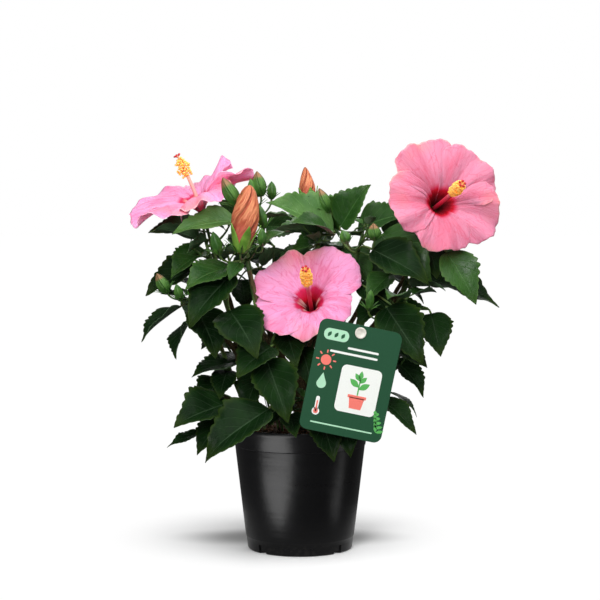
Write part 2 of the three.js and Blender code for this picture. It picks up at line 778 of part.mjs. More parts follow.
class Mass {
  constructor(plan, limbs) {
    this.name = plan.name;
    this.plan = plan;
    this.random = chance(plan.seed);
    this.solids = [];
    this.leaves = [];
    this.shoots = [];
    this.addMainShoot(limbs.get(plan.bough));
  }

  addMainShoot(bough) {
    const tangent = bough.curve.getTangent(1);
    const start = along(bough.curve.getPoint(1), [tangent, CLEARANCE]);
    const tip = vec(...this.plan.tip);
    const bend = along(start, [tangent, start.distanceTo(tip) * 0.4]);
    const first = Math.min(SHOOT.radius, bough.tipRadius);
    this.addShoot(new THREE.QuadraticBezierCurve3(start, bend, tip), taper(first, SHOOT.tipRadius));
  }

  addShoot(curve, radiusAt) {
    this.shoots.push(curve);
    this.solids.push(solidOf(bentBar(curve, radiusAt, SHOOT.sides, SHOOT.steps)));
    space.take(barPoints(curve, radiusAt), this.name);
  }

  // Side shoots climb out of the main one, each a golden turn further round.
  addSideShoots() {
    const { sideShoots, sideLength, turn } = this.plan;
    const main = this.shoots[0];
    const radiusAt = taper(SHOOT.tipRadius * 1.2, SHOOT.tipRadius * 0.8);
    for (let i = 0; i < sideShoots; i += 1) {
      const start = main.getPoint(0.25 + (0.6 * i) / sideShoots);
      const angle = degToRad(turn + i * GOLDEN_TURN);
      const out = vec(Math.cos(angle), Math.sin(angle), 0);
      const length = sideLength * (0.8 + 0.4 * this.random());
      const bend = along(start, [out, length * 0.45], [UP, length * 0.1]);
      const tip = along(start, [out, length * 0.8], [UP, length * 0.6]);
      const curve = new THREE.QuadraticBezierCurve3(start, bend, tip);
      if (space.isFree(barPoints(curve, radiusAt, 0.15), this.name)) this.addShoot(curve, radiusAt);
    }
  }

  // The stalk leaves the shoots where they are nearest, counting a climb as the easier way.
  stalkTo(foot, heading) {
    let best = { cost: Infinity };
    for (const shoot of this.shoots) {
      for (let i = 0; i <= 10; i += 1) {
        const point = shoot.getPoint(lerp(STALK.lowest, 0.98, i / 10));
        const cost = point.distanceTo(foot) + 1.2 * Math.max(0, point.z - foot.z + 4);
        if (cost < best.cost) best = { cost, point };
      }
    }
    const reach = best.point.distanceTo(foot);
    if (reach > STALK.longest) return null;
    return new THREE.QuadraticBezierCurve3(best.point, along(foot, [heading, -0.4 * reach]), foot);
  }

  isClear(points, apart = false) {
    return space.isFree(points, this.name, apart) && !points.some(isInPot) && !points.some(isOnTheTable);
  }

  addLeaf(leaf, stalk, detail) {
    this.leaves.push(leaf);
    this.solids.push(leaf.solid(stalk, detail));
    space.take(leaf.points(), this.name, true);
    space.take(barPoints(stalk, () => STALK.radius), this.name);
  }

  // A leaf that shows keeps its place in the front view, and moves in depth until it is clear.
  addShownLeaves() {
    for (const [x, y, z, tipX, tipY, tipZ, roll, widthRatio] of this.plan.shown) {
      const place = (shift, apart) => {
        const leaf = new Leaf(vec(x, y + shift, z), vec(tipX, tipY + shift, tipZ), roll, { widthRatio });
        const stalk = this.stalkTo(leaf.foot, leaf.heading);
        if (!stalk || !this.isClear(leaf.points(), apart)) return false;
        if (!this.isClear(barPoints(stalk, () => STALK.radius, 0.1))) return false;
        this.addLeaf(leaf, stalk, FINE);
        return true;
      };
      [true, false].some((apart) => DEPTH_SHIFTS.some((shift) => place(shift, apart)));
    }
  }

  addBuds() {
    for (const [x, y, z, tipX, tipY, tipZ, width] of this.plan.buds) {
      DEPTH_SHIFTS.some((shift) => {
        const axis = new THREE.LineCurve3(vec(x, y + shift, z), vec(tipX, tipY + shift, tipZ));
        const stalk = this.stalkTo(axis.v1, axis.getTangent(0));
        const points = barPoints(axis, () => width / 2);
        if (!stalk || !this.isClear(points)) return false;
        if (!this.isClear(barPoints(stalk, () => STALK.radius, 0.1))) return false;
        this.solids.push(budSolid(axis, width, stalk));
        space.take(points, this.name, true);
        space.take(barPoints(stalk, () => STALK.radius), this.name);
        return true;
      });
    }
  }

  // Leaves spiral up each shoot. One that meets anything, or leaves the crown, turns to look for
  // room, and is skipped where there is none.
  addSpiralLeaves() {
    for (const shoot of this.shoots) {
      const count = Math.round(shoot.getLength() / SPIRAL.spacing);
      for (let i = 0; i < count; i += 1) {
        const t = (i + 1) / count;
        const angle = this.plan.turn + i * GOLDEN_TURN + 30 * this.random();
        const rise = SPIRAL.rise + 16 * this.random();
        const pitch = SPIRAL.pitch - 26 * this.random() + 30 * t;
        const length = this.plan.leaf * (1.1 - 0.4 * t) * (0.85 + 0.3 * this.random());
        const start = shoot.getPoint(t - 0.02);
        const reach = SPIRAL.stalk * (1 - 0.3 * t);
        SPIRAL.turns.some((turn) => this.tryLeaf(start, angle + turn, reach, rise, pitch, length));
      }
    }
  }

  tryLeaf(start, angle, reach, rise, pitch, length) {
    const out = vec(Math.cos(degToRad(angle)), Math.sin(degToRad(angle)), 0);
    const step = (from, distance, slope) => (
      along(from, [out, distance * Math.cos(degToRad(slope))], [UP, distance * Math.sin(degToRad(slope))])
    );
    const foot = step(start, reach, rise);
    const leaf = new Leaf(foot, step(foot, length, pitch), 0, { face: UP });
    const stalk = new THREE.QuadraticBezierCurve3(start, step(start, reach * 0.6, rise + 12), foot);
    const points = leaf.points();
    if (!points.every(isInCrown) || points.some(isInGap) || !this.isClear(points, true)) return false;
    if (!this.isClear(barPoints(stalk, () => STALK.radius, 0.15))) return false;
    this.addLeaf(leaf, stalk, PLAIN);
    return true;
  }

  solid() {
    return fuse(this.solids);
  }
}

// A pointed egg, from its tip down.
function eggRings(axis, width, sides) {
  const heading = axis.getTangent(0);
  const across = crossed(heading, EGG.side);
  const over = crossed(across, heading);
  const rings = EGG.rings.map(([t, share]) => (
    { point: axis.getPoint(t), spokes: roundSpokes(across, over, (width / 2) * share, sides) }
  ));
  return [{ point: axis.getPoint(1) }, ...rings];
}

// A bud and its stalk in one skin.
function budSolid(axis, width, stalk) {
  const side = crossed(axis.getTangent(0), EGG.side);
  const rings = [...eggRings(axis, width, EGG.sides), ...stalkRings(stalk, side, EGG.sides, PLAIN.stalk)];
  return solidOf(skinOver(rings, EGG.sides));
}

function eggSolid(axis, width, sides) {
  return solidOf(skinOver([...eggRings(axis, width, sides), { point: axis.getPoint(0) }], sides));
}

// Blooms

class Bloom {
  constructor(plan, limbs) {
    this.name = plan.name;
    this.plan = plan;
    this.bough = limbs.get(plan.bough);
    this.foot = vec(...plan.foot);
    this.axis = vec(...plan.facing).normalize();
    this.right = along(vec(1, 0, 0), [this.axis, -this.axis.x]).normalize();
    this.above = crossed(this.axis, this.right);
  }

  // A petal's midrib runs up a narrow funnel and opens out flat.
  midrib(s, reach, rise) {
    const { depth, spread } = this.plan;
    const out = 2 * s * (1 - s) * (spread * 0.16) + s * s * spread * reach;
    const ahead = 2 * s * (1 - s) * (depth * 1.25) + s * s * (depth + rise);
    return [PETAL.tubeRadius * (1 - s) + out, ahead];
  }

  petalPoint([turn, reach, rise = 0, lap = PETAL.lap], s, q, lift = 0) {
    const shortened = 1 - 0.13 * Math.abs(q) ** 3;
    const [out, ahead] = this.midrib(s * shortened, reach, rise);
    const angle = degToRad(turn + q * PETAL.halfTurn * (1.06 - 0.06 * s));
    const wave = PETAL.wave * s ** 3 * Math.sin(q * PETAL.waves * Math.PI + turn);
    return along(
      this.foot,
      [this.axis, ahead + wave + lap * q * s + lift],
      [this.right, out * Math.cos(angle)],
      [this.above, out * Math.sin(angle)],
    );
  }

  // A thin slab whose two large faces follow the petal.
  petalSolid(petal) {
    const slab = new THREE.BoxGeometry(1, 1, 1, PETAL.across, PETAL.along, 1);
    const position = slab.attributes.position;
    for (let i = 0; i < position.count; i += 1) {
      const s = position.getY(i) + 0.5;
      const q = position.getX(i) * -2;
      const lift = position.getZ(i) * PETAL.thickness;
      const point = this.petalPoint(petal, s, q, lift);
      position.setXYZ(i, point.x, point.y, point.z);
    }
    return solidOf(slab);
  }

  twig() {
    const tangent = this.bough.curve.getTangent(1);
    const start = along(this.bough.curve.getPoint(1), [tangent, CLEARANCE]);
    const end = along(this.foot, [this.axis, -CALYX.length + 3]);
    const reach = 0.35 * start.distanceTo(end);
    const leaving = along(start, [tangent, reach]);
    const arriving = along(end, [this.axis, -reach]);
    return new THREE.CubicBezierCurve3(start, leaving, arriving, end);
  }

  calyx() {
    const root = along(this.foot, [this.axis, -CALYX.length]);
    return new THREE.LineCurve3(root, along(this.foot, [this.axis, CALYX.above]));
  }

  column() {
    const tip = vec(...this.plan.columnTip);
    const length = this.foot.distanceTo(tip);
    const bend = along(this.foot, [this.axis, length * 0.5]);
    return new THREE.QuadraticBezierCurve3(along(this.foot, [this.axis, -3]), bend, tip);
  }

  points() {
    const points = [...barPoints(this.column(), () => COLUMN.brushRadius, 0.5)];
    points.push(...barPoints(this.twig(), () => SHOOT.radius));
    points.push(...barPoints(this.calyx(), () => CALYX.radius));
    const lift = PETAL.thickness / 2 + SKIN;
    for (const petal of this.plan.petals) {
      for (const [s, q] of sampleGrid()) {
        points.push(this.petalPoint(petal, s, q, lift), this.petalPoint(petal, s, q, -lift));
      }
    }
    return points;
  }

  solid() {
    const column = this.column();
    const brush = new THREE.LineCurve3(column.getPoint(COLUMN.brushStart), column.getPoint(COLUMN.brushEnd));
    return fuse([
      solidOf(bentBar(this.twig(), () => SHOOT.radius, SHOOT.sides, SHOOT.steps)),
      solidOf(bentBar(this.calyx(), taper(CALYX.rootRadius, CALYX.radius), 6, 1)),
      solidOf(bentBar(column, taper(COLUMN.rootRadius, COLUMN.radius), 5, 3)),
      eggSolid(brush, COLUMN.brushRadius * 2, 6),
      ...this.plan.petals.map((petal) => this.petalSolid(petal)),
    ]);
  }
}

// Care tag and its peg

function tagGeometry() {
  const { width, height, corner, thickness, holeRadius, holeFromMiddle } = TAG;
  const [x, y] = [width / 2, height / 2];
  const card = new THREE.Shape();
  card.moveTo(-x + corner, -y);
  card.lineTo(x - corner, -y);
  card.absarc(x - corner, -y + corner, corner, -Math.PI / 2, 0);
  card.lineTo(x, y - corner);
  card.absarc(x - corner, y - corner, corner, 0, Math.PI / 2);
  card.lineTo(-x + corner, y);
  card.absarc(-x + corner, y - corner, corner, Math.PI / 2, Math.PI);
  card.lineTo(-x, -y + corner);
  card.absarc(-x + corner, -y + corner, corner, Math.PI, Math.PI * 1.5);
  const hole = new THREE.Path();
  hole.absarc(0, holeFromMiddle, holeRadius, 0, Math.PI * 2);
  card.holes.push(hole);
  return new THREE.ExtrudeGeometry(card, { depth: thickness, bevelEnabled: false, curveSegments: 6 });
}

function tagHole() {
  const tilt = degToRad(TAG.tilt);
  const [x, y, z] = TAG.middle;
  return vec(x + TAG.holeFromMiddle * Math.sin(tilt), y, z + TAG.holeFromMiddle * Math.cos(tilt));
}

// The peg's stud fills the hole, its arm runs back, and its ring goes round the bough.
function pegSolid(bough) {
  const hole = tagHole();
  const disc = (from, to, radius) => {
    const axis = new THREE.LineCurve3(along(hole, [FRONT, from]), along(hole, [FRONT, to]));
    return solidOf(bentBar(axis, () => radius, PEG.sides, 1));
  };
  const head = TAG.thickness + CLEARANCE;
  const grip = bough.curve.getPoint(PEG.along);
  const tangent = bough.curve.getTangent(PEG.along);
  const tube = PEG.armRadius * 0.8;
  const ringRadius = bough.radiusAt(PEG.along) + 3.5 * CLEARANCE + tube;
  const ring = new THREE.TorusGeometry(ringRadius, tube, 5, 14);
  ring.applyQuaternion(new THREE.Quaternion().setFromUnitVectors(vec(0, 0, 1), tangent));
  ring.translate(grip.x, grip.y, grip.z);
  const toward = vec().subVectors(hole, grip);
  const outward = along(toward, [tangent, -toward.dot(tangent)]).normalize();
  const armEnd = along(grip, [outward, ringRadius]);
  const armStart = along(hole, [FRONT, -CLEARANCE - PEG.flangeDepth + 0.5]);
  const armBend = along(armStart, [FRONT, -0.5 * armStart.distanceTo(armEnd)]);
  const arm = new THREE.QuadraticBezierCurve3(armStart, armBend, armEnd);
  return fuse([
    disc(head, head + PEG.headDepth, PEG.headRadius),
    disc(-CLEARANCE - 0.2, head + 0.2, TAG.holeRadius - 1.3 * CLEARANCE),
    disc(-CLEARANCE - PEG.flangeDepth, -CLEARANCE, PEG.flangeRadius),
    solidOf(bentBar(arm, () => PEG.armRadius, 6, 5)),
    solidOf(ring),
  ]);
}

// Points over the card, a little past its edges and its two faces.
function tagPoints() {
  const points = [];
  const middle = vec(...TAG.middle);
  const right = vec(1, 0, 0).applyAxisAngle(FRONT, -degToRad(TAG.tilt));
  const above = crossed(right, vec(0, 1, 0));
  const step = SAMPLES.barStep;
  for (let across = -TAG.width / 2 - step; across <= TAG.width / 2 + step; across += step) {
    for (let up = -TAG.height / 2 - step; up <= TAG.height / 2 + step; up += step) {
      for (const depth of [-step, 0, step]) {
        points.push(along(middle, [right, across], [above, up], [FRONT, depth]));
      }
    }
  }
  return points;
}

// Assembly

const finishes = {
  pot: new THREE.MeshStandardMaterial({ color: COLOURS.pot, roughness: 0.4 }),
  soil: new THREE.MeshStandardMaterial({ color: COLOURS.soil, roughness: 1 }),
  bark: new THREE.MeshStandardMaterial({ color: COLOURS.bark, roughness: 0.8 }),
  leaf: new THREE.MeshStandardMaterial({ color: COLOURS.leaf, roughness: 0.5 }),
  petal: new THREE.MeshStandardMaterial({ color: COLOURS.petal, roughness: 0.6 }),
  tag: new THREE.MeshStandardMaterial({ color: COLOURS.tag, roughness: 0.4 }),
  peg: new THREE.MeshStandardMaterial({ color: COLOURS.peg, roughness: 0.4 }),
};

const shrub = new THREE.Group();

function addPiece(parent, name, geometry, finish) {
  const mesh = new THREE.Mesh(geometry, finishes[finish]);
  mesh.name = name;
  parent.add(mesh);
  return mesh;
}

addPiece(shrub, 'pot', geometryOf(potSolid()), 'pot');
addPiece(shrub, 'soil', geometryOf(soilSolid()), 'soil');

const limbs = new Map();
for (const plan of LIMBS) {
  const limb = new Limb(plan, limbs);
  addPiece(shrub, limb.name, geometryOf(limbSolid(limb, [...limbs.values()])), 'bark');
  limbs.set(limb.name, limb);
  space.take(barPoints(limb.curve, limb.radiusAt), limb.name);
}

const tagFrame = new THREE.Group();
tagFrame.position.set(...TAG.middle);
tagFrame.rotation.y = degToRad(TAG.tilt);
shrub.add(tagFrame);
addPiece(tagFrame, 'care_tag', tagGeometry(), 'tag').rotation.x = Math.PI / 2;
space.take(tagPoints(), 'care_tag');

const pegBough = limbs.get('bough_right_mid');
addPiece(shrub, 'tag_peg', geometryOf(pegSolid(pegBough)), 'peg');
const pegArm = new THREE.LineCurve3(tagHole(), pegBough.curve.getPoint(PEG.along));
space.take(barPoints(pegArm, () => PEG.armRadius + 4), 'tag_peg');

for (const plan of BLOOMS) {
  const bloom = new Bloom(plan, limbs);
  addPiece(shrub, bloom.name, geometryOf(bloom.solid()), 'petal');
  space.take(bloom.points(), bloom.name);
}

const masses = MASSES.map((plan) => new Mass(plan, limbs));
for (const mass of masses) mass.addShownLeaves();
for (const mass of masses) mass.addBuds();
for (const mass of masses) mass.addSideShoots();
for (const mass of masses) mass.addSpiralLeaves();
for (const mass of masses) addPiece(shrub, mass.name, geometryOf(mass.solid()), 'leaf');

export default shrub;
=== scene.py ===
"""Looks of a potted hibiscus shrub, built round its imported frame.

Sizes are in millimetres on the frame's axes: X to the right, Y away from the front, Z up, with
the origin in the middle of the pot's underside. Shapes are surfaces worked out as whole arrays,
and each function says its formula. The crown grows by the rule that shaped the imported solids:
shoots, buds and showing leaves stand at named places, a seeded spiral of leaves fills each shoot,
and a mass keeps to the space that nothing else has claimed. Finer leaves then fill what is left.
"""

import math

import bpy
import numpy as np
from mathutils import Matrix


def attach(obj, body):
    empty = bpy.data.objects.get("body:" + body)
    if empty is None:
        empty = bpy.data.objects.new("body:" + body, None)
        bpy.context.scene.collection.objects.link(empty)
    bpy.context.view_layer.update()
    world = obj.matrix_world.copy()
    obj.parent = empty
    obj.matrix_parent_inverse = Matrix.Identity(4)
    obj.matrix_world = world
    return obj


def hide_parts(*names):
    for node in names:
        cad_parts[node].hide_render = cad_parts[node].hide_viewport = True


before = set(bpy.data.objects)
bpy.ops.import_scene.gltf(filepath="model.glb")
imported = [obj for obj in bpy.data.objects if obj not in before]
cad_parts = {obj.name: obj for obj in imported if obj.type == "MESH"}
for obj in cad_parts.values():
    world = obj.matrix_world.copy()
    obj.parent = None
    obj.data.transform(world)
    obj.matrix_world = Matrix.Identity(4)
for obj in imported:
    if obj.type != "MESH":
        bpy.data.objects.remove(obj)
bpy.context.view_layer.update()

MM = 0.001
UP = np.array([0.0, 0.0, 1.0])
FRONT = np.array([0.0, -1.0, 0.0])

# Camera: the photograph's view

CAMERA = {"place": (0, -1.905, 0.388), "pitch": 4.143, "lens": 114.3, "sensor": 36}

# Sizes of the pot, the soil, the tag and its peg

CLEARANCE = 0.3
POT = {
    "height": 124.5, "rim": 68.4, "foot": 52.5, "wall": 1.5, "floor": 2,
    "band_bottom": 104.5, "band_step": 1.2, "foot_band": 13, "foot_step": 0.6, "segments": 200,
}
NOTCH = {"width": 8, "height": 8.5, "depth": 5, "turns": (45, 135, 225, 315)}
SOIL = {"top": 120, "relief": 1.1, "waves": 14, "crumbs": 420, "crumb_sizes": (0.7, 2.2)}
TAG = {
    "width": 79.7, "height": 107.6, "corner": 7.5, "thickness": 1, "middle": (48.2, -102, 180.5),
    "tilt": 11.7, "hole_radius": 4.8, "hole_up": 46.5,
}
PEG = {
    "head": 5.4, "head_depth": 0.8, "flange": 7, "flange_depth": 1.6, "neck": 4.4, "arm": 2,
    "along": 0.62,
}

# Turned and swept shapes: how near to its axis a profile ends, and which way a section starts

AXIS_GAP = 0.05
SECTION_START = np.array([0.31, 0.87, 0.38])

# Growth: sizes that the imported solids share

GOLDEN_TURN = 137.5
LEAF = {"width_ratio": 0.66, "droop": 35, "fold": 14, "thickness": 0.025, "face": (-0.1, -0.6, 0.8)}
SHOOT = {"radius": 1.9, "tip": 1.2}
STALK = {"radius": 0.85, "longest": 75, "lowest": 0.3}
SIDE = {"from": 0.25, "span": 0.6, "bend": (0.45, 0.1), "tip": (0.8, 0.6)}
SPIRAL = {"spacing": 8, "stalk": 20, "rise": 34, "pitch": -18, "turns": (0, 40, -40, 80, -80)}
FINE = {"tries": 24, "leaf": 36, "stalk": 11, "rise": 30}
YOUNG = {"count": 7, "leaf": 21, "shorter": 0.14, "stalk": 4, "rise": 50, "pitch": 15, "droop": 12}
DEPTH_SHIFTS = (0, -6, 6, -12, 12, -18, 18, -24, 24, -32, 32)
CELL = 4
SKIN = 0.6
KEEP_OFF = 4
SAMPLES = {"along": 24, "across": 8, "bar_step": 2}
PETAL = {
    "half_turn": 50, "lap": 3, "tube": 3, "thickness": 1.2, "wave": 2.6, "waves": 2.5,
    "corners": 0.13, "narrow": 0.16, "climb": 1.25,
}
CALYX = {"length": 17, "radius": 6.2, "above": 4}
COLUMN = {"root": 2.4, "radius": 1.7, "brush": 6.2}

# Side veins of a leaf, on its mesh and in its finish: how many pairs, how steeply they leave the
# rib and how they crowd towards its foot

VEINS = {"pairs": 7.0, "slant": 0.34, "crowding": 0.92}

# The bark's relief as waves: height, turns round the limb, radians a millimetre, and whether the
# wave is shifted from limb to limb. Scars of old leaves stand on it at even steps.

BARK_WAVES = [(0.035, 5, 0.05, 1), (0.025, 9, -0.11, 0), (0.02, 3, 1.9, 0), (0.015, 0, 0.83, 1)]
SCARS = {"first": 8, "step": 13, "width": 1.7, "height": 0.17}

# Limbs: start (on the soil, or a parent and how far along it), bend, tip, radii and root flare

LIMBS = [
    ("stem_main", (2, 4, 108), (-4, 3, 150), (0, 2, 192), (6.5, 4.4), 4),
    ("stem_left", (-38, -8, 108), (-61, -8, 165), (-66, -8, 232), (4.2, 2.9), 2.6),
    ("bough_left_low", ("stem_left", 0.3), (-62, -20, 150), (-76, -26, 156), (2.4, 1.9), 0),
    ("bough_left_mid", ("stem_left", 0.72), (-74, -22, 214), (-90, -30, 238), (2.6, 2), 0),
    ("bough_left_high", ("stem_left", 1), (-70, -14, 258), (-84, -24, 284), (2.7, 2), 0),
    ("bough_left_bloom", ("stem_left", 0.9), (-76, 6, 262), (-90, -6, 312), (2.3, 1.9), 0),
    ("bough_peach", ("stem_main", 0.72), (-30, -40, 205), (-50, -44, 282), (3.4, 2.2), 0),
    ("bough_top", ("stem_main", 1), (2, 6, 245), (14, -2, 290), (3.6, 2.2), 0),
    ("bough_centre", ("stem_main", 0.97), (-8, 16, 226), (-22, 18, 262), (3, 2), 0),
    ("bough_right_top", ("stem_main", 0.92), (34, -2, 235), (54, -14, 290), (3.2, 2.1), 0),
    ("bough_right", ("stem_main", 0.62), (66, 6, 205), (104, -4, 262), (3.4, 2.2), 0),
    ("bough_right_bloom", ("bough_right", 0.62), (108, 14, 268), (124, -6, 318), (2.2, 1.9), 0),
    ("bough_right_mid", ("stem_main", 0.56), (44, -64, 186), (84, -58, 228), (3.2, 2), 0),
    ("bough_right_low", ("stem_main", 0.3), (52, -14, 150), (82, -28, 176), (2.8, 2), 0),
    ("bough_front", ("stem_main", 0.84), (4, -10, 192), (12, -4, 212), (2.6, 2), 0),
    ("bough_front_left", ("stem_main", 0.42), (-18, -34, 160), (-28, -50, 198), (2.8, 2), 0),
    ("bough_front_low", ("stem_main", 0.2), (6, -22, 132), (14, -38, 141), (2.4, 1.9), 0),
    ("bough_back_left", ("stem_main", 0.78), (-34, 34, 200), (-56, 44, 246), (3.2, 2.1), 0),
    ("bough_back", ("stem_main", 0.9), (4, 46, 215), (6, 56, 268), (3.2, 2.1), 0),
    ("bough_back_right", ("stem_main", 0.68), (44, 40, 200), (66, 48, 250), (3.2, 2.1), 0),
    ("bough_back_low_left", ("stem_main", 0.34), (-30, 34, 150), (-52, 46, 172), (2.6, 1.9), 0),
    ("bough_back_low_right", ("stem_main", 0.46), (30, 36, 158), (50, 52, 180), (2.6, 1.9), 0),
]

# Masses: name, bough, the shoot's tip, (side shoots, their length), length of the lower leaves,
# seed, turn, shown leaves and buds. A shown leaf is the foot of its blade, its tip, and where they
# differ from the usual the roll of its face in degrees and its width ratio. A bud is its foot, its
# tip and its width.

MASS_KEYS = ("name", "bough", "tip", "side", "leaf", "seed", "turn", "shown", "buds")
MASSES = [
    ("leaves_left_high", "bough_left_high", (-96, -22, 328), (2, 30), 52, 11, 200,
     [
        (-101, -20, 312, -148, -42, 322, 57), (-92, -36, 312, -110, -60, 300, 70),
        (-102, -2, 284, -153, -25, 256, 0, 0.6), (-94, -18, 301, -127, -50, 276),
     ], []),
    ("leaves_left_mid", "bough_left_mid", (-112, -40, 254), (1, 24), 50, 23, 120,
     [
        (-120, -18, 244, -156, -44, 212, 35), (-109, -22, 231, -122, -54, 196, 50),
        (-112, -40, 255, -136, -54, 260, 0, 0.5), (-100, -50, 244, -80, -82, 200, -20, 0.8),
     ],
     [(-129, -50, 261, -139, -52, 280, 14), (-116, -58, 254, -120, -62, 270, 10)]),
    ("leaves_left_low", "bough_left_low", (-86, -30, 176), (1, 26), 52, 31, 40,
     [
        (-64, -26, 190, -106, -56, 179, 10, 0.7), (-72, -44, 182, -78, -78, 158),
        (-80, -12, 172, -98, -48, 148), (-70, -36, 154, -121, -72, 135, 0, 0.75),
        (-97, -34, 121, -130, -56, 111, 0, 0.35), (-72, -42, 138, -100, -74, 106),
     ], []),
    ("leaves_peach", "bough_peach", (-50, -42, 330), (2, 28), 50, 47, 300,
     [
        (-62, -50, 331, -124, -66, 319, 0, 0.55), (-70, -34, 286, -111, -68, 267),
        (-67, -52, 279, -107, -84, 231), (-58, -66, 291, -68, -84, 276),
        (-68, -34, 244, -40, -80, 203, 0, 0.75), (-38, 2, 284, -12, -10, 302, -60),
     ],
     [
        (-60, -76, 346, -74, -80, 373, 16), (-46, -40, 340, -48, -44, 372, 12),
        (-38, -24, 355, -42, -22, 379, 15), (-28, -26, 352, -28, -24, 369, 10),
        (-57, -76, 301, -48, -84, 366, 28), (-35, -55, 324, -40, -57, 347, 11),
        (-78, -66, 299, -84, -70, 321, 12), (-36, -74, 308, -37, -80, 325, 10),
     ]),
    ("leaves_top", "bough_top", (26, -12, 334), (2, 28), 50, 53, 60,
     [
        (26, 4, 318, -32, -14, 316, 35, 0.75), (32, -16, 306, -9, -50, 302),
        (33, -16, 320, -33, -38, 349), (34, -4, 316, 35, -14, 346, 0, 0.5),
        (29, -34, 320, -7, -66, 333),
     ],
     [
        (9, -10, 344, 5, -10, 383, 19), (27, -22, 338, 19, -24, 362, 16),
        (33, -8, 341, 30, -6, 356, 11),
     ]),
    ("leaves_centre", "bough_centre", (-26, 14, 304), (2, 28), 54, 59, 190,
     [
        (-34, 14, 323, 4, 0, 320, 30), (-18, 12, 298, 20, 0, 276), (-32, 16, 296, -72, 0, 280),
     ], []),
    ("leaves_right_top", "bough_right_top", (64, -18, 326), (2, 26), 50, 61, 150,
     [
        (40, -22, 325, 68, -38, 367, 15, 0.75), (58, 2, 322, 108, -16, 336, 0, 0.8),
        (86, 2, 316, 106, -18, 333, -60), (80, -22, 316, 129, -54, 272, 10, 0.75),
        (46, -10, 300, 72, -36, 264), (71, -50, 303, 125, -76, 272, 10),
        (88, -40, 278, 64, -64, 254),
     ],
     [(72, -60, 313, 71, -64, 329, 15), (46, -52, 310, 41, -56, 322, 12)]),
    ("leaves_right", "bough_right", (128, 2, 290), (2, 30), 54, 71, 250,
     [
        (128, -16, 306, 134, -46, 274), (142, 8, 306, 139, -24, 272),
        (143, -34, 300, 171, -50, 250), (122, -12, 273, 199, -30, 244, -10),
        (110, -16, 265, 144, -40, 264, -60),
     ], []),
    ("leaves_right_mid", "bough_right_mid", (104, -56, 256), (1, 24), 52, 83, 20,
     [
        (84, -66, 247, 118, -100, 195, 10), (88, -36, 236, 126, -58, 246),
        (58, -40, 268, 92, -56, 240), (129, -34, 239, 137, -60, 199, 0, 0.75),
        (80, -40, 250, 56, -62, 226),
     ],
     [(66, -58, 246, 68, -66, 266, 9)]),
    ("leaves_right_low", "bough_right_low", (98, -34, 196), (1, 26), 48, 97, 330,
     [
        (96, -46, 208, 123, -74, 190), (94, -34, 194, 122, -54, 159, -20, 0.6),
        (88, -24, 162, 115, -48, 142, -40, 0.4), (80, -42, 158, 112, -66, 127, -10, 0.5),
     ], []),
    ("leaves_front", "bough_front_left", (-24, -56, 222), (1, 22), 52, 101, 90,
     [
        (-32, -74, 197, -11, -106, 140), (-28, -60, 210, -61, -90, 184, 0, 0.85),
        (-14, -46, 222, -3, -84, 191), (-30, -64, 153, -92, -92, 107),
        (-40, -48, 182, -54, -74, 142), (2, -40, 206, 12, -66, 168),
     ], []),
    ("leaves_front_low", "bough_front_low", (30, -58, 162), (1, 20), 44, 113, 210,
     [
        (20, -60, 143, 33, -88, 100), (42, -60, 140, 49, -84, 104), (-10, -56, 142, -4, -86, 124),
        (-6, -40, 150, -32, -58, 130),
     ], []),
    ("leaves_back_left", "bough_back_left", (-76, 58, 296), (3, 30), 56, 127, 30,
     [(-100, 24, 318, -152, 2, 318), (-68, 14, 328, -84, 0, 352)],
     []),
    ("leaves_back", "bough_back", (6, 62, 318), (3, 30), 56, 131, 75,
     [],
     [(12, 66, 334, 14, 70, 356, 13)]),
    ("leaves_back_right", "bough_back_right", (92, 52, 292), (3, 30), 56, 139, 10,
     [],
     [(96, 58, 312, 98, 62, 332, 12)]),
    ("leaves_back_low_left", "bough_back_low_left", (-72, 54, 204), (2, 28), 56, 149, 100,
     [], []),
    ("leaves_back_low_right", "bough_back_low_right", (76, 60, 208), (2, 28), 56, 151, 45,
     [], []),
]
MASS_NAMES = [row[0] for row in MASSES]

# Blooms: foot of the petals, the way the bloom faces, its depth, its spread and its column's tip.
# A petal is its turn round the axis from the right side, in degrees, its share of the spread, and
# how far its edge rises ahead of the others, and how far one side rises ahead of the other where
# that isn't the usual lap. On its mesh each petal ruffles and droops. The brush is how many anthers
# it has, how near and how far they stand off, its core's radius, and how pale the column's root is.

BLOOMS = [
    {
        "name": "bloom_left", "bough": "bough_left_bloom", "foot": (-97, -15, 338),
        "facing": (-0.3, 0.05, 0.94), "depth": 20, "spread": 65, "column_tip": (-120, -20, 392),
        "petals": [
            (4, 1, 0, -6), (60, 0.82, 20, -5), (150, 1.04, 7, -12), (206, 1.14, -6, -15),
            (284, 0.84, 1, 7),
        ],
        "seed": 5, "ruffle": 1.6, "droop": (0, 0, 2, 2, 15), "brush": (80, 2.2, 7.4, 0, 0.6),
    },
    {
        "name": "bloom_front", "bough": "bough_front", "foot": (12, -30, 240),
        "facing": (-0.1, -0.82, 0.56), "depth": 30, "spread": 55, "column_tip": (5, -100, 286),
        "petals": [(138, 1.1), (55, 1.14), (-20, 0.8), (-88, 0.85), (205, 1)],
        "seed": 17, "ruffle": 0.8, "droop": (2, 2, 6, 2, 0), "brush": (190, 3.4, 5.4, 3.2, 0),
    },
    {
        "name": "bloom_right", "bough": "bough_right_bloom", "foot": (131, -22, 341),
        "facing": (0.3, -0.9, 0.32), "depth": 31, "spread": 60, "column_tip": (153, -98, 367),
        "petals": [(112, 1.1), (47, 1.08), (-14, 1.03), (-94, 0.9), (187, 0.98)],
        "seed": 29, "ruffle": 0.9, "droop": (2, 1, 3, 2, 1), "brush": (190, 3.4, 5.6, 3.4, 0),
    },
]

# The leafy part of the crown from the front: at each height, how far it reaches left and right.
# Its depth is a share of its width. Gaps that stay open are boxes in the same view.

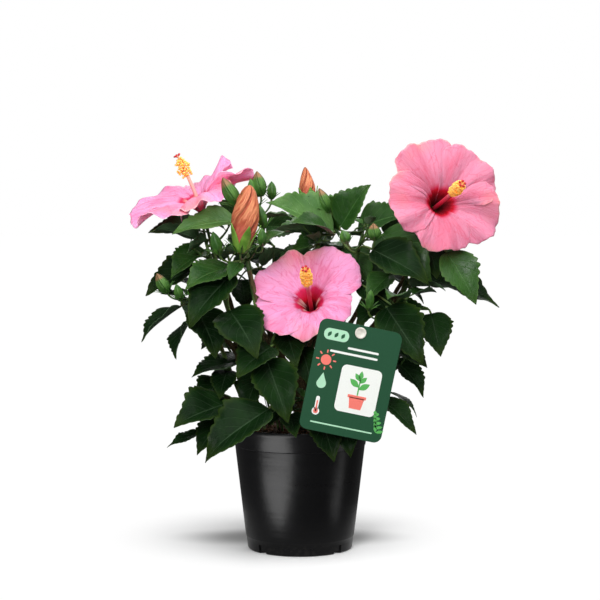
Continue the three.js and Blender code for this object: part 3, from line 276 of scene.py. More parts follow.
CROWN = np.array([
    (96, -100, 60), (126, -104, 92), (158, -98, 98), (190, -96, 120), (222, -112, 140),
    (254, -126, 138), (278, -140, 166), (310, -120, 150), (335, -112, 104), (350, -34, 76),
    (362, -20, 68),
], float)
CROWN_DEPTH = 0.92
OPEN_GAPS = [(-26, 2, 299, 314), (-93, -76, 247, 255), (-74, -58, 144, 170)]


# Vectors and curves


def unit(v):
    """v scaled to length 1."""
    return v / np.linalg.norm(v, axis=-1, keepdims=True)


def square_to(v, axis):
    """v without its share along axis, scaled to length 1."""
    return unit(v - axis * np.sum(v * axis, axis=-1, keepdims=True))


def crossed(a, b):
    return unit(np.cross(a, b))


def grid(rows, columns):
    """Two like grids: the value of its row, and of its column, for each place."""
    return np.meshgrid(rows, columns, indexing="ij")


def circle(count):
    """Angles at even steps round a turn."""
    return 2 * np.pi * np.arange(count) / count


def spoke(across, over, turn):
    """The direction at a turn from one direction towards another that is square to it."""
    return across * np.cos(turn)[..., None] + over * np.sin(turn)[..., None]


def steps_along(angle, slope):
    """The unit step at an angle round Z and a slope above the level, both in degrees."""
    angle, slope = math.radians(angle), math.radians(slope)
    level = math.cos(slope)
    return np.array([math.cos(angle) * level, math.sin(angle) * level, math.sin(slope)])


class Curve:
    """A Bezier curve: the sum of its control points with Bernstein weights."""

    def __init__(self, *controls):
        self.controls = np.array(controls, float)

    def at(self, t):
        t = np.asarray(t, float)[..., None]
        last = len(self.controls) - 1
        return sum(
            math.comb(last, k) * (1 - t) ** (last - k) * t**k * point
            for k, point in enumerate(self.controls)
        )

    def tangent(self, t):
        t = np.asarray(t, float)
        return unit(self.at(np.clip(t + 1e-4, 0, 1)) - self.at(np.clip(t - 1e-4, 0, 1)))

    def length(self):
        return np.linalg.norm(np.diff(self.at(np.linspace(0, 1, 201)), axis=0), axis=1).sum()


def chance(seed):
    """A repeatable stream of numbers between 0 and 1."""
    state = seed
    while True:
        state = (state * 1664525 + 1013904223) % 2**32
        yield state / 2**32


# Space: cells of the crown, each taken by one owner only


class Space:
    """Which owner holds each cell of a cubic lattice, and which cells hold a blade."""

    def __init__(self):
        self.owners = {}
        self.blades = set()

    def cells(self, points):
        x, y, z = (np.floor(points / CELL).astype(int) + 512).T
        return np.unique((x * 1024 + y) * 1024 + z).tolist()

    def is_free(self, points, owner, apart=False):
        """Nobody else's, and with no blade in it where blades must keep apart."""
        return all(
            self.owners.get(cell, owner) == owner and not (apart and cell in self.blades)
            for cell in self.cells(points)
        )

    def take(self, points, owner, is_blade=False):
        for cell in self.cells(points):
            self.owners.setdefault(cell, owner)
            if is_blade:
                self.blades.add(cell)


space = Space()


def bar_points(curve, radius_at, start=0.0):
    """Points on and just outside a round bar, for claiming its space."""
    steps = math.ceil(curve.length() / SAMPLES["bar_step"])
    t = start + (1 - start) * np.linspace(0, 1, steps + 1)
    middle = curve.at(t)
    reach = (radius_at(t) + SKIN)[:, None]
    sides = [side * axis for axis in np.eye(3) for side in (1, -1)]
    return np.concatenate([middle] + [middle + reach * side for side in sides])


def evenly(radius):
    return lambda t: np.full_like(t, radius)


def taper(start, end):
    return lambda t: start + (end - start) * t


def stalk_points(stalk, start=0.0):
    return bar_points(stalk, evenly(STALK["radius"]), start)


def sample_grid():
    """Places on a blade or petal: from 0 to 1 along it, and from -1 to 1 across it."""
    along = np.arange(SAMPLES["along"] + 1) / SAMPLES["along"]
    across = np.arange(-SAMPLES["across"], SAMPLES["across"] + 1) / SAMPLES["across"]
    return [places.ravel() for places in grid(along, across)]


def is_off_the_ground(points):
    in_pot = (points[:, 2] < POT["height"] + KEEP_OFF) & (
        np.hypot(points[:, 0], points[:, 1]) < POT["rim"] + KEEP_OFF
    )
    return not (in_pot | (points[:, 2] < KEEP_OFF)).any()


def is_in_crown(points):
    """Inside the ellipse that spans the crown's two sides at each point's height."""
    x, y, z = points.T
    if z.min() < CROWN[0, 0] or z.max() > CROWN[-1, 0]:
        return False
    left = np.interp(z, CROWN[:, 0], CROWN[:, 1])
    right = np.interp(z, CROWN[:, 0], CROWN[:, 2])
    half = (right - left) / 2
    across = (x - (left + right) / 2) / half
    deep = y / np.maximum(half * CROWN_DEPTH, 60)
    return bool((across**2 + deep**2 < 1).all())


def is_in_gap(points):
    x, _, z = points.T
    return any(
        ((x > left) & (x < right) & (z > low) & (z < high)).any()
        for left, right, low, high in OPEN_GAPS
    )


# Growth


class Limb:
    """A stem or bough: a curve from the soil or from a place on its parent, and its taper."""

    def __init__(self, name, start, bend, tip, radii, flare, limbs):
        self.name = name
        if isinstance(start[0], str):
            start = limbs[start[0]].curve.at(start[1])
        self.curve = Curve(start, bend, tip)
        self.radii = radii
        self.flare = flare

    def radius_at(self, t):
        """A straight taper, with a root flare that dies away as the eighth power."""
        return self.radii[0] + (self.radii[1] - self.radii[0]) * t + self.flare * (1 - t) ** 8


class Leaf:
    """A blade from its foot to its tip, turned to face a direction and then rolled."""

    def __init__(self, foot, tip, roll=0, width_ratio=LEAF["width_ratio"], face=LEAF["face"]):
        self.foot = np.array(foot, float)
        self.tip = np.array(tip, float)
        self.bend = math.radians(LEAF["droop"])
        self.fold = math.radians(LEAF["fold"])
        chord = self.tip - self.foot
        self.length = np.linalg.norm(chord) * self.bend / (2 * math.sin(self.bend / 2))
        self.half_width = self.length * width_ratio / 2
        self.heading = unit(chord)
        level_up = square_to(np.array(face, float), self.heading)
        turn = math.radians(roll)
        self.up = math.cos(turn) * level_up + math.sin(turn) * np.cross(self.heading, level_up)
        self.side = crossed(self.heading, self.up)

    def rib(self, u):
        """An arc from foot to tip that turns through the droop."""
        turn = (self.bend * (u - 0.5))[..., None]
        half = self.bend / 2
        scale = self.length / self.bend
        ahead = self.heading * scale * (np.sin(turn) + math.sin(half))
        return self.foot + ahead + self.up * scale * (np.cos(turn) - math.cos(half))

    def normal(self, u):
        turn = (self.bend * (u - 0.5))[..., None]
        return self.up * np.cos(turn) + self.heading * np.sin(turn)

    def reach(self, u):
        """Half the blade's width: heart-shaped at the foot, drawn out at the tip."""
        heart = np.sin(np.pi * np.clip(u, 0, 1) ** 0.75).clip(0) ** 0.75
        return self.half_width / 0.86 * heart * (1 - 0.3 * u) * (1 - 0.5 * u**3)

    def surface(self, u, v, lift, reach=None):
        """The rib plus v times the reach to the side, folded up along the rib, plus a lift."""
        reach = self.reach(u) if reach is None else reach
        level = self.side * (v * reach * math.cos(self.fold))[..., None]
        rise = (np.abs(v) * reach * math.sin(self.fold) + lift)[..., None]
        return self.rib(u) + level + self.normal(u) * rise

    def points(self):
        u, v = sample_grid()
        lift = self.length * LEAF["thickness"] / 2 + SKIN
        return np.concatenate([self.surface(u, v, lift), self.surface(u, v, -lift)])


class Mass:
    """A mass grows on a few shoots, and its leaf stalks and buds rise from the nearest point."""

    def __init__(self, plan, limbs):
        self.name = plan["name"]
        self.plan = plan
        self.random = chance(plan["seed"])
        self.shoots = []
        self.leaves = []
        self.buds = []
        bough = limbs[plan["bough"]]
        tangent = bough.curve.tangent(1)
        start = bough.curve.at(1) + tangent * CLEARANCE
        tip = np.array(plan["tip"], float)
        bend = start + tangent * np.linalg.norm(tip - start) * 0.4
        first = min(SHOOT["radius"], bough.radii[1])
        self.add_shoot(Curve(start, bend, tip), taper(first, SHOOT["tip"]))

    def add_shoot(self, curve, radius_at):
        self.shoots.append((curve, radius_at))
        space.take(bar_points(curve, radius_at), self.name)

    def add_side_shoots(self):
        """Side shoots climb out of the main one, each a golden turn further round."""
        count, usual = self.plan["side"]
        main = self.shoots[0][0]
        radius_at = taper(SHOOT["tip"] * 1.2, SHOOT["tip"] * 0.8)
        for i in range(count):
            start = main.at(SIDE["from"] + SIDE["span"] * i / count)
            out = steps_along(self.plan["turn"] + i * GOLDEN_TURN, 0)
            length = usual * (0.8 + 0.4 * next(self.random))
            places = (SIDE["bend"], SIDE["tip"])
            bend, tip = (start + out * length * ahead + UP * length * up for ahead, up in places)
            curve = Curve(start, bend, tip)
            if space.is_free(bar_points(curve, radius_at, 0.15), self.name):
                self.add_shoot(curve, radius_at)

    def stalk_to(self, foot, heading):
        """The stalk leaves the shoots where they are nearest, a climb being the easier way."""
        best_cost, best = math.inf, None
        for curve, _ in self.shoots:
            for point in curve.at(np.linspace(STALK["lowest"], 0.98, 11)):
                drop = max(0, point[2] - foot[2] + 4)
                cost = np.linalg.norm(point - foot) + 1.2 * drop
                if cost < best_cost:
                    best_cost, best = cost, point
        reach = np.linalg.norm(best - foot)
        if reach > STALK["longest"]:
            return None
        return Curve(best, foot - heading * 0.4 * reach, foot)

    def is_clear(self, points, apart=False):
        return space.is_free(points, self.name, apart) and is_off_the_ground(points)

    def add_leaf(self, leaf, stalk, rank):
        self.leaves.append((leaf, stalk, rank))
        space.take(leaf.points(), self.name, True)
        space.take(stalk_points(stalk), self.name)

    def add_shown_leaves(self):
        """A leaf that shows keeps its place in the front view, and moves in depth until clear."""
        for row in self.plan["shown"]:
            for apart, shift in [(a, s) for a in (True, False) for s in DEPTH_SHIFTS]:
                push = np.array([0, shift, 0])
                leaf = Leaf(row[:3] + push, row[3:6] + push, *row[6:])
                stalk = self.stalk_to(leaf.foot, leaf.heading)
                if stalk is None or not self.is_clear(leaf.points(), apart):
                    continue
                if self.is_clear(stalk_points(stalk, 0.1)):
                    self.add_leaf(leaf, stalk, "shown")
                    break

    def add_buds(self):
        for row in self.plan["buds"]:
            for shift in DEPTH_SHIFTS:
                push = np.array([0, shift, 0])
                axis = Curve(row[:3] + push, row[3:6] + push)
                stalk = self.stalk_to(axis.at(1), axis.tangent(0))
                points = bar_points(axis, evenly(row[6] / 2))
                if stalk is None or not self.is_clear(points):
                    continue
                if self.is_clear(stalk_points(stalk, 0.1)):
                    self.buds.append((axis, row[6], self.stalk_to(axis.at(0), axis.tangent(0))))
                    space.take(points, self.name, True)
                    space.take(stalk_points(stalk), self.name)
                    break

    def add_spiral_leaves(self):
        """Leaves spiral up each shoot. One that meets anything, or leaves the crown, turns to
        look for room, and is skipped where there is none."""
        for curve, _ in self.shoots:
            count = round(curve.length() / SPIRAL["spacing"])
            for i in range(count):
                t = (i + 1) / count
                angle = self.plan["turn"] + i * GOLDEN_TURN + 30 * next(self.random)
                rise = SPIRAL["rise"] + 16 * next(self.random)
                pitch = SPIRAL["pitch"] - 26 * next(self.random) + 30 * t
                length = self.plan["leaf"] * (1.1 - 0.4 * t) * (0.85 + 0.3 * next(self.random))
                start = curve.at(t - 0.02)
                reach = SPIRAL["stalk"] * (1 - 0.3 * t)
                for turn in SPIRAL["turns"]:
                    if self.try_leaf(start, angle + turn, reach, rise, pitch, length, "spiral"):
                        break

    def try_leaf(self, start, angle, reach, rise, pitch, length, rank):
        foot = start + steps_along(angle, rise) * reach
        leaf = Leaf(foot, foot + steps_along(angle, pitch) * length, face=UP)
        stalk = Curve(start, start + steps_along(angle, rise + 12) * reach * 0.6, foot)
        points = leaf.points()
        if not is_in_crown(points) or is_in_gap(points) or not self.is_clear(points, True):
            return False
        if not self.is_clear(stalk_points(stalk, 0.15)):
            return False
        self.add_leaf(leaf, stalk, rank)
        return True

    def add_fine_leaves(self):
        """Smaller leaves on short stalks look for the room that is left round each shoot, and
        young ones crowd round its tip."""
        for curve, _ in self.shoots:
            for _ in range(FINE["tries"]):
                t = 0.3 + 0.7 * next(self.random)
                angle = 360 * next(self.random)
                pitch = -30 + 60 * next(self.random)
                length = FINE["leaf"] * (0.8 + 0.4 * next(self.random))
                reach, rise = FINE["stalk"], FINE["rise"]
                self.try_leaf(curve.at(t), angle, reach, rise, pitch, length, "fine")
            for i in range(YOUNG["count"]):
                angle = self.plan["turn"] + i * GOLDEN_TURN
                length = YOUNG["leaf"] * (1 - YOUNG["shorter"] * i)
                pitch = YOUNG["pitch"] + YOUNG["droop"] * i
                start = curve.at(1 - 0.05 * (YOUNG["count"] - i) / YOUNG["count"])
                reach, rise = YOUNG["stalk"], YOUNG["rise"]
                self.try_leaf(start, angle, reach, rise, pitch, length, "young")


class Bloom:
    """Petals round an axis, with a calyx behind them, a twig that carries them and a column."""

    def __init__(self, plan, limbs):
        self.name = plan["name"]
        self.plan = plan
        self.foot = np.array(plan["foot"], float)
        self.axis = unit(np.array(plan["facing"], float))
        self.right = square_to(np.array([1.0, 0, 0]), self.axis)
        self.above = crossed(self.axis, self.right)
        bough = limbs[plan["bough"]]
        tangent = bough.curve.tangent(1)
        start = bough.curve.at(1) + tangent * CLEARANCE
        end = self.foot - self.axis * (CALYX["length"] - 3)
        reach = 0.35 * np.linalg.norm(end - start)
        self.twig = Curve(start, start + tangent * reach, end - self.axis * reach, end)
        self.calyx = Curve(
            self.foot - self.axis * CALYX["length"], self.foot + self.axis * CALYX["above"]
        )
        tip = np.array(plan["column_tip"], float)
        bend = self.foot + self.axis * np.linalg.norm(tip - self.foot) * 0.5
        self.column = Curve(self.foot - self.axis * 3, bend, tip)

    def petal_point(self, petal, s, q, lift, length=1.0):
        """The midrib runs up a narrow funnel and opens out flat: both its parts are quadratics
        in s. A share q of the petal's half turn leads round the axis, with a slow wave and a lap
        over the next petal."""
        turn, share, rise, lap = (*petal, *(0, PETAL["lap"])[len(petal) - 2:])
        depth, spread = self.plan["depth"], self.plan["spread"]
        along = s * (1 - PETAL["corners"] * np.abs(q) ** 3) * length
        out = 2 * along * (1 - along) * spread * PETAL["narrow"] + along**2 * spread * share
        out = out + PETAL["tube"] * (1 - along)
        ahead = 2 * along * (1 - along) * depth * PETAL["climb"] + along**2 * (depth + rise)
        angle = np.radians(turn + q * PETAL["half_turn"] * (1.06 - 0.06 * s))
        wave = PETAL["wave"] * s**3 * np.sin(q * PETAL["waves"] * np.pi + turn)
        ahead = ahead + wave + lap * q * s + lift
        return (
            self.foot + self.axis * ahead[..., None]
            + self.right * (out * np.cos(angle))[..., None]
            + self.above * (out * np.sin(angle))[..., None]
        )

    def points(self):
        s, q = sample_grid()
        parts = [
            bar_points(self.column, evenly(COLUMN["brush"]), 0.5),
            bar_points(self.twig, evenly(SHOOT["radius"])),
            bar_points(self.calyx, evenly(CALYX["radius"])),
        ]
        lift = PETAL["thickness"] / 2 + SKIN
        for petal in self.plan["petals"]:
            parts += [self.petal_point(petal, s, q, lift), self.petal_point(petal, s, q, -lift)]
        return np.concatenate(parts)


def tag_place(across, up, depth):
    """A place on the tag: across and up its face, and ahead of its back face."""
    tilt = math.radians(TAG["tilt"])
    right = np.array([math.cos(tilt), 0, -math.sin(tilt)])
    above = np.array([math.sin(tilt), 0, math.cos(tilt)])
    across, up, depth = (np.asarray(value, float)[..., None] for value in (across, up, depth))
    return np.array(TAG["middle"], float) + right * across + above * up + FRONT * depth


def tag_points():
    step = SAMPLES["bar_step"]
    half_width, half_height = TAG["width"] / 2 + step, TAG["height"] / 2 + step
    across = np.arange(-half_width, half_width + 1e-9, step)
    up = np.arange(-half_height, half_height + 1e-9, step)
    lattice = np.meshgrid(across, up, [-step, 0, step], indexing="ij")
    return tag_place(*(places.ravel() for places in lattice))


def grow():
    """Limbs, tag, peg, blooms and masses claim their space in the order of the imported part."""
    limbs = {}
    for name, *plan in LIMBS:
        limbs[name] = Limb(name, *plan, limbs)
        space.take(bar_points(limbs[name].curve, limbs[name].radius_at), name)
    space.take(tag_points(), "care_tag")
    hole = tag_place(0, TAG["hole_up"], 0)
    arm = Curve(hole, limbs["bough_right_mid"].curve.at(PEG["along"]))
    space.take(bar_points(arm, evenly(PEG["arm"] + 4)), "tag_peg")
    blooms = [Bloom(plan, limbs) for plan in BLOOMS]
    for bloom in blooms:
        space.take(bloom.points(), bloom.name)
    masses = [Mass(dict(zip(MASS_KEYS, row)), limbs) for row in MASSES]
    for step in ("shown_leaves", "buds", "side_shoots", "spiral_leaves", "fine_leaves"):
        for mass in masses:
            getattr(mass, "add_" + step)()
    return limbs, blooms, masses


# Meshes: closed patches worked out as arrays, joined into one mesh for each piece


def numbered(points):
    """A number for each point of a grid of points."""
    return np.arange(points[..., 0].size).reshape(points.shape[:2])


def squares(index):
    """The four corners of each square in a grid of point numbers."""
    corners = [index[:-1, :-1], index[:-1, 1:], index[1:, 1:], index[1:, :-1]]
    return np.stack(corners, axis=-1).reshape(-1, 4)


class Patches:
    """Collects closed patches. A patch's faces are turned outwards by the sign of its volume."""

    def __init__(self):
        self.points, self.faces, self.uvs, self.slots = [], [], [], []
        self.count = 0

    def add(self, points, faces, uv, slots):
        corners = points.reshape(-1, 3)
        fans = [(face[0], face[k], face[k + 1]) for face in faces for k in range(1, len(face) - 1)]
        a, b, c = corners[np.array(fans)].transpose(1, 0, 2)
        middle = corners.mean(axis=0)
        volume = np.sum((a - middle) * np.cross(b - middle, c - middle))
        if volume < 0:
            faces = [face[::-1] for face in faces]
        flat_uv = uv.reshape(-1, 2)
        self.points.append(corners)
        self.uvs += [flat_uv[list(face)] for face in faces]
        self.faces += [[corner + self.count for corner in face] for face in faces]
        self.slots += slots
        self.count += len(corners)

    def tube(self, rings, uv=None):
        """Rings of points, one after another, with a flat cap at each end."""
        index = numbered(rings)
        rows, columns = index.shape
        if uv is None:
            uv = np.stack(grid(np.linspace(0, 1, rows), np.arange(columns) / columns), axis=-1)
        walls = squares(np.pad(index, ((0, 0), (0, 1)), "wrap")).tolist()
        caps = [index[0, ::-1].tolist(), index[-1].tolist()]
        self.add(rings, walls + caps, uv, [0] * (len(walls) + 2))

    def ring(self, loops):
        """Rings of points that close on themselves both ways, as round a card with a hole."""
        index = numbered(loops)
        rows, columns = index.shape
        faces = squares(np.pad(index, (0, 1), "wrap")).tolist()
        uv = np.stack(grid(np.arange(rows) / rows, np.arange(columns) / columns), axis=-1)
        self.add(loops, faces, uv, [0] * len(faces))

    def slab(self, top, bottom, u, v, slots=(0, 0)):
        """Two like grids of points, joined along their four edges, where u runs from 0 to 1 and
        v from -1 to 1."""
        index = numbered(top)
        upper = squares(index)[:, [0, 3, 2, 1]]
        edge = np.concatenate([index[:-1, 0], index[-1, :-1], index[:0:-1, -1], index[0, :0:-1]])
        following = np.roll(edge, -1)
        walls = np.stack([following, edge, edge + index.size, following + index.size], axis=1)
        faces = np.concatenate([upper, upper[:, ::-1] + index.size, walls]).tolist()
        uv = np.stack([u, (v + 1) / 2], axis=-1)
        kinds = [slots[0]] * len(upper) + [slots[1]] * (len(upper) + len(walls))
        self.add(np.stack([top, bottom]), faces, np.stack([uv, uv]), kinds)

    def piece(self, name, finishes, slot, *nodes, sharp=None):
        """The joined mesh as a piece that rides on the root body and stands for CAD nodes."""
        mesh = bpy.data.meshes.new(name)
        points = np.concatenate(self.points) * MM
        mesh.from_pydata(points.tolist(), [], self.faces)
        layer = mesh.uv_layers.new(name="UVMap")
        layer.data.foreach_set("uv", np.concatenate(self.uvs).astype(np.float32).ravel())
        mesh.polygons.foreach_set("material_index", np.array(self.slots, np.int32))
        mesh.shade_smooth()
        if sharp is not None:
            mesh.set_sharp_from_angle(angle=math.radians(sharp))
        for finish in finishes:
            mesh.materials.append(finish)
        mesh.validate()
        mesh.update()
        obj = placed(name, mesh)
        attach(obj, "root")
        if nodes:
            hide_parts(*nodes)
        return obj


def swept(curve, radii, sides, t=None):
    """Rings round a curve: at each t, a circle square to the tangent, of the radius there. radii
    is a number for each ring, or for each ring and side."""
    radii = np.atleast_1d(np.asarray(radii, float))
    if t is None:
        t = np.linspace(0, 1, len(radii))
    if radii.ndim == 1:
        radii = np.repeat(radii[:, None], sides, axis=1)
    tangent = curve.tangent(t)
    across = square_to(SECTION_START, tangent)
    over = np.cross(tangent, across)
    around = spoke(across[:, None], over[:, None], circle(sides)[None])
    return curve.at(t)[:, None] + around * radii[..., None]


def lathed(profile, segments):
    """Rings round Z from (radius, height) rows."""
    angle = circle(segments)
    radius, height = np.array(profile, float).T
    level = np.broadcast_to(height[:, None], (len(height), segments))
    x, y = radius[:, None] * np.cos(angle), radius[:, None] * np.sin(angle)
    return np.stack([x, y, level], axis=-1)


def arc(radius, height, size, turns):
    """Profile rows round a soft edge: a circle of that size, at turns given in degrees."""
    turns = np.radians(turns)
    return [(radius + size * math.cos(a), height + size * math.sin(a)) for a in turns]


# Shaders: a small class for arithmetic on sockets, and one method that makes any node


class Value:
    """A socket that holds a number. Arithmetic on it adds Math nodes to its tree."""

    def __init__(self, nodes, socket):
        self.nodes = nodes
        self.socket = socket

    def math(self, operation, *others, swap=False):
        values = [self, *others][::-1] if swap else [self, *others]
        return self.nodes.node("Math", {"operation": operation}, dict(enumerate(values)))

    def __add__(self, other):
        return self.math("ADD", other)

    __radd__ = __add__

    def __sub__(self, other):
        return self.math("SUBTRACT", other)

    def __rsub__(self, other):
        return self.math("SUBTRACT", other, swap=True)

    def __mul__(self, other):
        return self.math("MULTIPLY", other)

    __rmul__ = __mul__

    def __abs__(self):
        return self.math("ABSOLUTE")

    def __pow__(self, exponent):
        return self.math("POWER", exponent)

    def fraction(self):
        return self.math("FRACT")

    def step(self, low, high):
        """0 below low, 1 above high, and smooth between."""
        sockets = {"Value": self, "From Min": low, "From Max": high}
        return self.nodes.node("MapRange", {"interpolation_type": "SMOOTHSTEP"}, sockets)


class Nodes:
    """A node tree. Its sockets take values, colours or links."""

    def __init__(self, tree):
        self.tree = tree

    def feed(self, socket, value):
        if isinstance(value, Value):
            value = value.socket
        if isinstance(value, bpy.types.NodeSocket):
            self.tree.links.new(value, socket)
        elif isinstance(value, tuple) and socket.type == "RGBA":
            socket.default_value = (*value, 1)
        else:
            socket.default_value = value

    def node(self, kind, settings=None, sockets=None, output=0):
        """A node of any kind: its settings or ramp stops first, then its sockets."""
        node = self.tree.nodes.new("ShaderNode" + kind)
        for name, value in (settings or {}).items():
            if name == "stops":
                ramp = node.color_ramp
                while len(ramp.elements) < len(value):
                    ramp.elements.new(1)
                for element, (place, colour) in zip(ramp.elements, value):
                    element.position = place
                    element.color = (*colour, 1)
            else:
                setattr(node, name, value)
        for name, value in (sockets or {}).items():
            self.feed(node.inputs[name], value)
        made = node.outputs[output]
        return Value(self, made) if made.type == "VALUE" else made

    def seen(self):
        """1 where the camera looks straight at a place, and 0 for all other light."""
        return self.node("LightPath", output="Is Camera Ray")


class Finish(Nodes):
    """A material with one Principled shader."""

    def __init__(self, name, **sockets):
        self.material = bpy.data.materials.new(name)
        self.material.use_nodes = True
        super().__init__(self.material.node_tree)
        self.shader = self.tree.nodes["Principled BSDF"]
        self.put(**sockets)

    def put(self, **sockets):
        for name, value in sockets.items():
            self.feed(self.shader.inputs[name.replace("_", " ")], value)

    def mixed(self, share, a, b):
        """Colour a, with a share of colour b."""
        return self.node("Mix", {"data_type": "RGBA"}, {0: share, 6: a, 7: b}, 2)

    def ramp(self, factor, *stops):
        """The colour at a factor, between stops of a place and a colour."""
        return self.node("ValToRGB", {"stops": stops}, {"Fac": factor})

    def parts(self, vector):
        apart = self.node("SeparateXYZ", None, {0: vector}).socket.node
        return [Value(self, socket) for socket in apart.outputs]

    def place(self, *parts):
        return self.node("CombineXYZ", None, dict(enumerate(parts)))

    def uv(self):
        """The piece's own UV map: a value along it, one across it and 0."""
        return self.parts(self.node("UVMap", {"uv_map": "UVMap"}))

    def in_frame(self):
        """Object coordinates, which are the frame's own in metres."""
        return self.node("TexCoord", output="Object")

    def noise(self, scale, detail=3.0, vector=None, roughness=0.5):
        vector = vector or self.in_frame()
        sockets = {"Vector": vector, "Scale": scale, "Detail": detail, "Roughness": roughness}
        return self.node("TexNoise", {"noise_dimensions": "3D"}, sockets)

    def cells(self, scale, vector=None, feature="DISTANCE_TO_EDGE"):
        """How far a place is from its cell's edge, or with the feature F1 from its middle."""
        vector = vector or self.in_frame()
        return self.node("TexVoronoi", {"feature": feature}, {"Vector": vector, "Scale": scale})

    def bump(self, height, distance):
        """The normal of a relief whose full height is a distance in metres."""
        sockets = {"Height": height, "Distance": distance, "Strength": 1.0}
        self.put(Normal=self.node("Bump", None, sockets, "Normal"))


def vein_phase(along, from_rib):
    """It grows by 1 from one pair of side veins to the next. along and from_rib are numbers from
    0 to 1, as arrays on the mesh or as sockets in a finish."""
    return (along ** VEINS["crowding"] - from_rib * VEINS["slant"]) * VEINS["pairs"]


def side_veins(along, from_rib, low, high):
    """Lines where the phase is whole, which die away towards the margin."""
    from_middle = abs(vein_phase(along, from_rib).fraction() - 0.5) * 2
    return from_middle.step(low, high) * (1 - from_rib.step(0.6, 1.0))


def leaf_upper(name, body, light, gloss, shine):
    """A glossy puckered blade: thin pale veins that leave the rib in pairs, over a blotchy
    green."""
    finish = Finish(name, Specular_IOR_Level=shine)
    along, across, _ = finish.uv()
    from_rib = abs(across - 0.5) * 2
    rib = 1 - from_rib.step(0.012, 0.05)
    vein = side_veins(along, from_rib, 0.87, 0.98)
    pucker = finish.noise(75.0, 2.0)
    net = 1 - finish.cells(26.0, finish.place(along * 1.6, across, 0.0)).step(0.0, 0.1)
    blotch = finish.noise(38.0, 4.0)
    green = finish.mixed(blotch.step(0.35, 0.7), body, light)
    pale = tuple(1.5 * part + 0.02 for part in light)
    sunny = tuple(1.25 * part + 0.02 * share for part, share in zip(light, (1.3, 1.5, 0.1)))
    rim = from_rib.step(0.8, 1.0) * 0.4 + along.step(0.7, 1.0) * 0.5
    edged = finish.mixed(rim, green, sunny)
    lines = rib * 0.75 + vein * 0.45 + net * 0.05
    finish.put(Base_Color=finish.mixed(lines, edged, pale), Roughness=blotch * 0.14 + gloss)
    finish.bump(pucker * 0.8 - rib * 0.6 - vein * 0.35 - net * 0.1, 0.0008)
    return finish.material


def leaf_under(name, body, light):
    """The back of a blade: paler, duller, with raised veins."""
    finish = Finish(name, Specular_IOR_Level=0.3)
    along, across, _ = finish.uv()
    from_rib = abs(across - 0.5) * 2
    rib = 1 - from_rib.step(0.02, 0.07)
    vein = side_veins(along, from_rib, 0.8, 1.0)
    green = finish.mixed(finish.noise(45.0), body, light)
    pale = tuple(min(1.0, 1.3 * part + 0.05) for part in light)
    finish.put(Base_Color=finish.mixed(rib * 0.8 + vein * 0.45, green, pale), Roughness=0.62)
    finish.bump(rib + vein * 0.7, 0.0007)
    return finish.material


def petal_finish(name, pink, deep, salmon, throat_dark, painted_highlight_share):
    """A petal's face: near black at the foot through crimson to pink, with pale patches beside its
    edges near the foot that are painted highlights, fine streaks that fan out, a paler rim, and
    salmon blotches towards the edge."""
    finish = Finish(name, Specular_IOR_Level=0.15, Roughness=0.55)
    along, across, _ = finish.uv()
    x, _, z = finish.parts(finish.in_frame())
    fan = finish.place(across * 16.0, along * 1.1, x * 7.0 + z * 5.0)
    streak = finish.noise(2.2, 4.0, fan, 0.6)
    fine = finish.noise(7.0, 3.0, fan, 0.65)
    broad = finish.noise(1.0, 1.0, finish.place(across * 5.0, along * 0.8, x * 22.0 + z * 17.0))
    bed = along + (streak - 0.5) * 0.07
    throat = finish.ramp(
        bed,
        (0.0, (0.04, 0.002, 0.003)),
        (0.14 * throat_dark, (0.08, 0.002, 0.004)),
        (0.26 * throat_dark, (0.2, 0.002, 0.008)),
        (0.35 * throat_dark, (0.48, 0.004, 0.018)),
        (0.39, deep),
        (0.46, pink),
        (1.0, pink),
    )
    # Painted highlight: pale patches beside the edges near the petal's foot, as of gloss on its
    # narrow base.
    side = (abs(across - 0.5) * 2).step(0.58, 0.8)
    painted_highlight = side * along.step(0.1, 0.18) * (1 - along.step(0.27, 0.4)) * painted_highlight_share
    highlighted = finish.mixed(painted_highlight, throat, (0.8, 0.42, 0.4))
    edge = along.step(0.55, 1.0)
    blotch = finish.noise(16.0, 2.0).step(0.5, 0.66)
    warm = finish.mixed(edge * blotch * 0.6, highlighted, salmon)
    lit = tuple(min(1.0, part * 1.02 + 0.09) for part in pink)
    streaked = finish.mixed(fine.step(0.52, 0.75) * along.step(0.35, 0.55) * 0.5, warm, lit)
    lines = (1 - streak.step(0.3, 0.48)) * along.step(0.3, 0.5) * (1 - along.step(0.8, 1.0))
    wander = finish.noise(5.0, 2.0, finish.place(across * 2.0, along * 2.0, 0.0))
    cells = finish.cells(1.6, finish.place(across * 9.0 + wander * 1.3, along * 2.1, 0.0))
    vein = (1 - cells.step(0.0, 0.07)) * along.step(0.36, 0.5)
    veined = finish.mixed(lines * 0.4 + vein * 0.28, streaked, deep)
    flush = broad.step(0.46, 0.68) * along.step(0.36, 0.46) * 0.3
    rim = along.step(0.975, 1.0) * (blotch * 0.5 + 0.1)
    finish.put(Base_Color=finish.mixed(rim, finish.mixed(flush, veined, deep), (1.0, 0.58, 0.48)))
    finish.bump(streak + fine * 0.6, 0.0009)
    finish.put(Subsurface_Weight=0.35, Subsurface_Scale=0.0012, Subsurface_Radius=(1.0, 0.6, 0.7))
    return finish.material


def petal_back(name, pink, red):
    """A petal's back: pale pink with red veins that fan out. Light from the face glows through."""
    finish = Finish(name, Specular_IOR_Level=0.2, Roughness=0.6)
    along, across, _ = finish.uv()
    fan = finish.place(across * 16.0, along * 1.1, 0.5)
    streak = finish.noise(2.2, 4.0, fan, 0.6)
    body = finish.mixed(1 - along.step(0.05, 0.35), pink, red)
    lines = (1 - streak.step(0.34, 0.46)) * (1 - along.step(0.75, 1.0))
    finish.put(Base_Color=finish.mixed(lines * 0.5, body, red))
    finish.bump(streak, 0.0012)
    finish.put(Subsurface_Weight=1.0, Subsurface_Scale=0.0015, Subsurface_Radius=(1.0, 0.6, 0.7))
    return finish.material


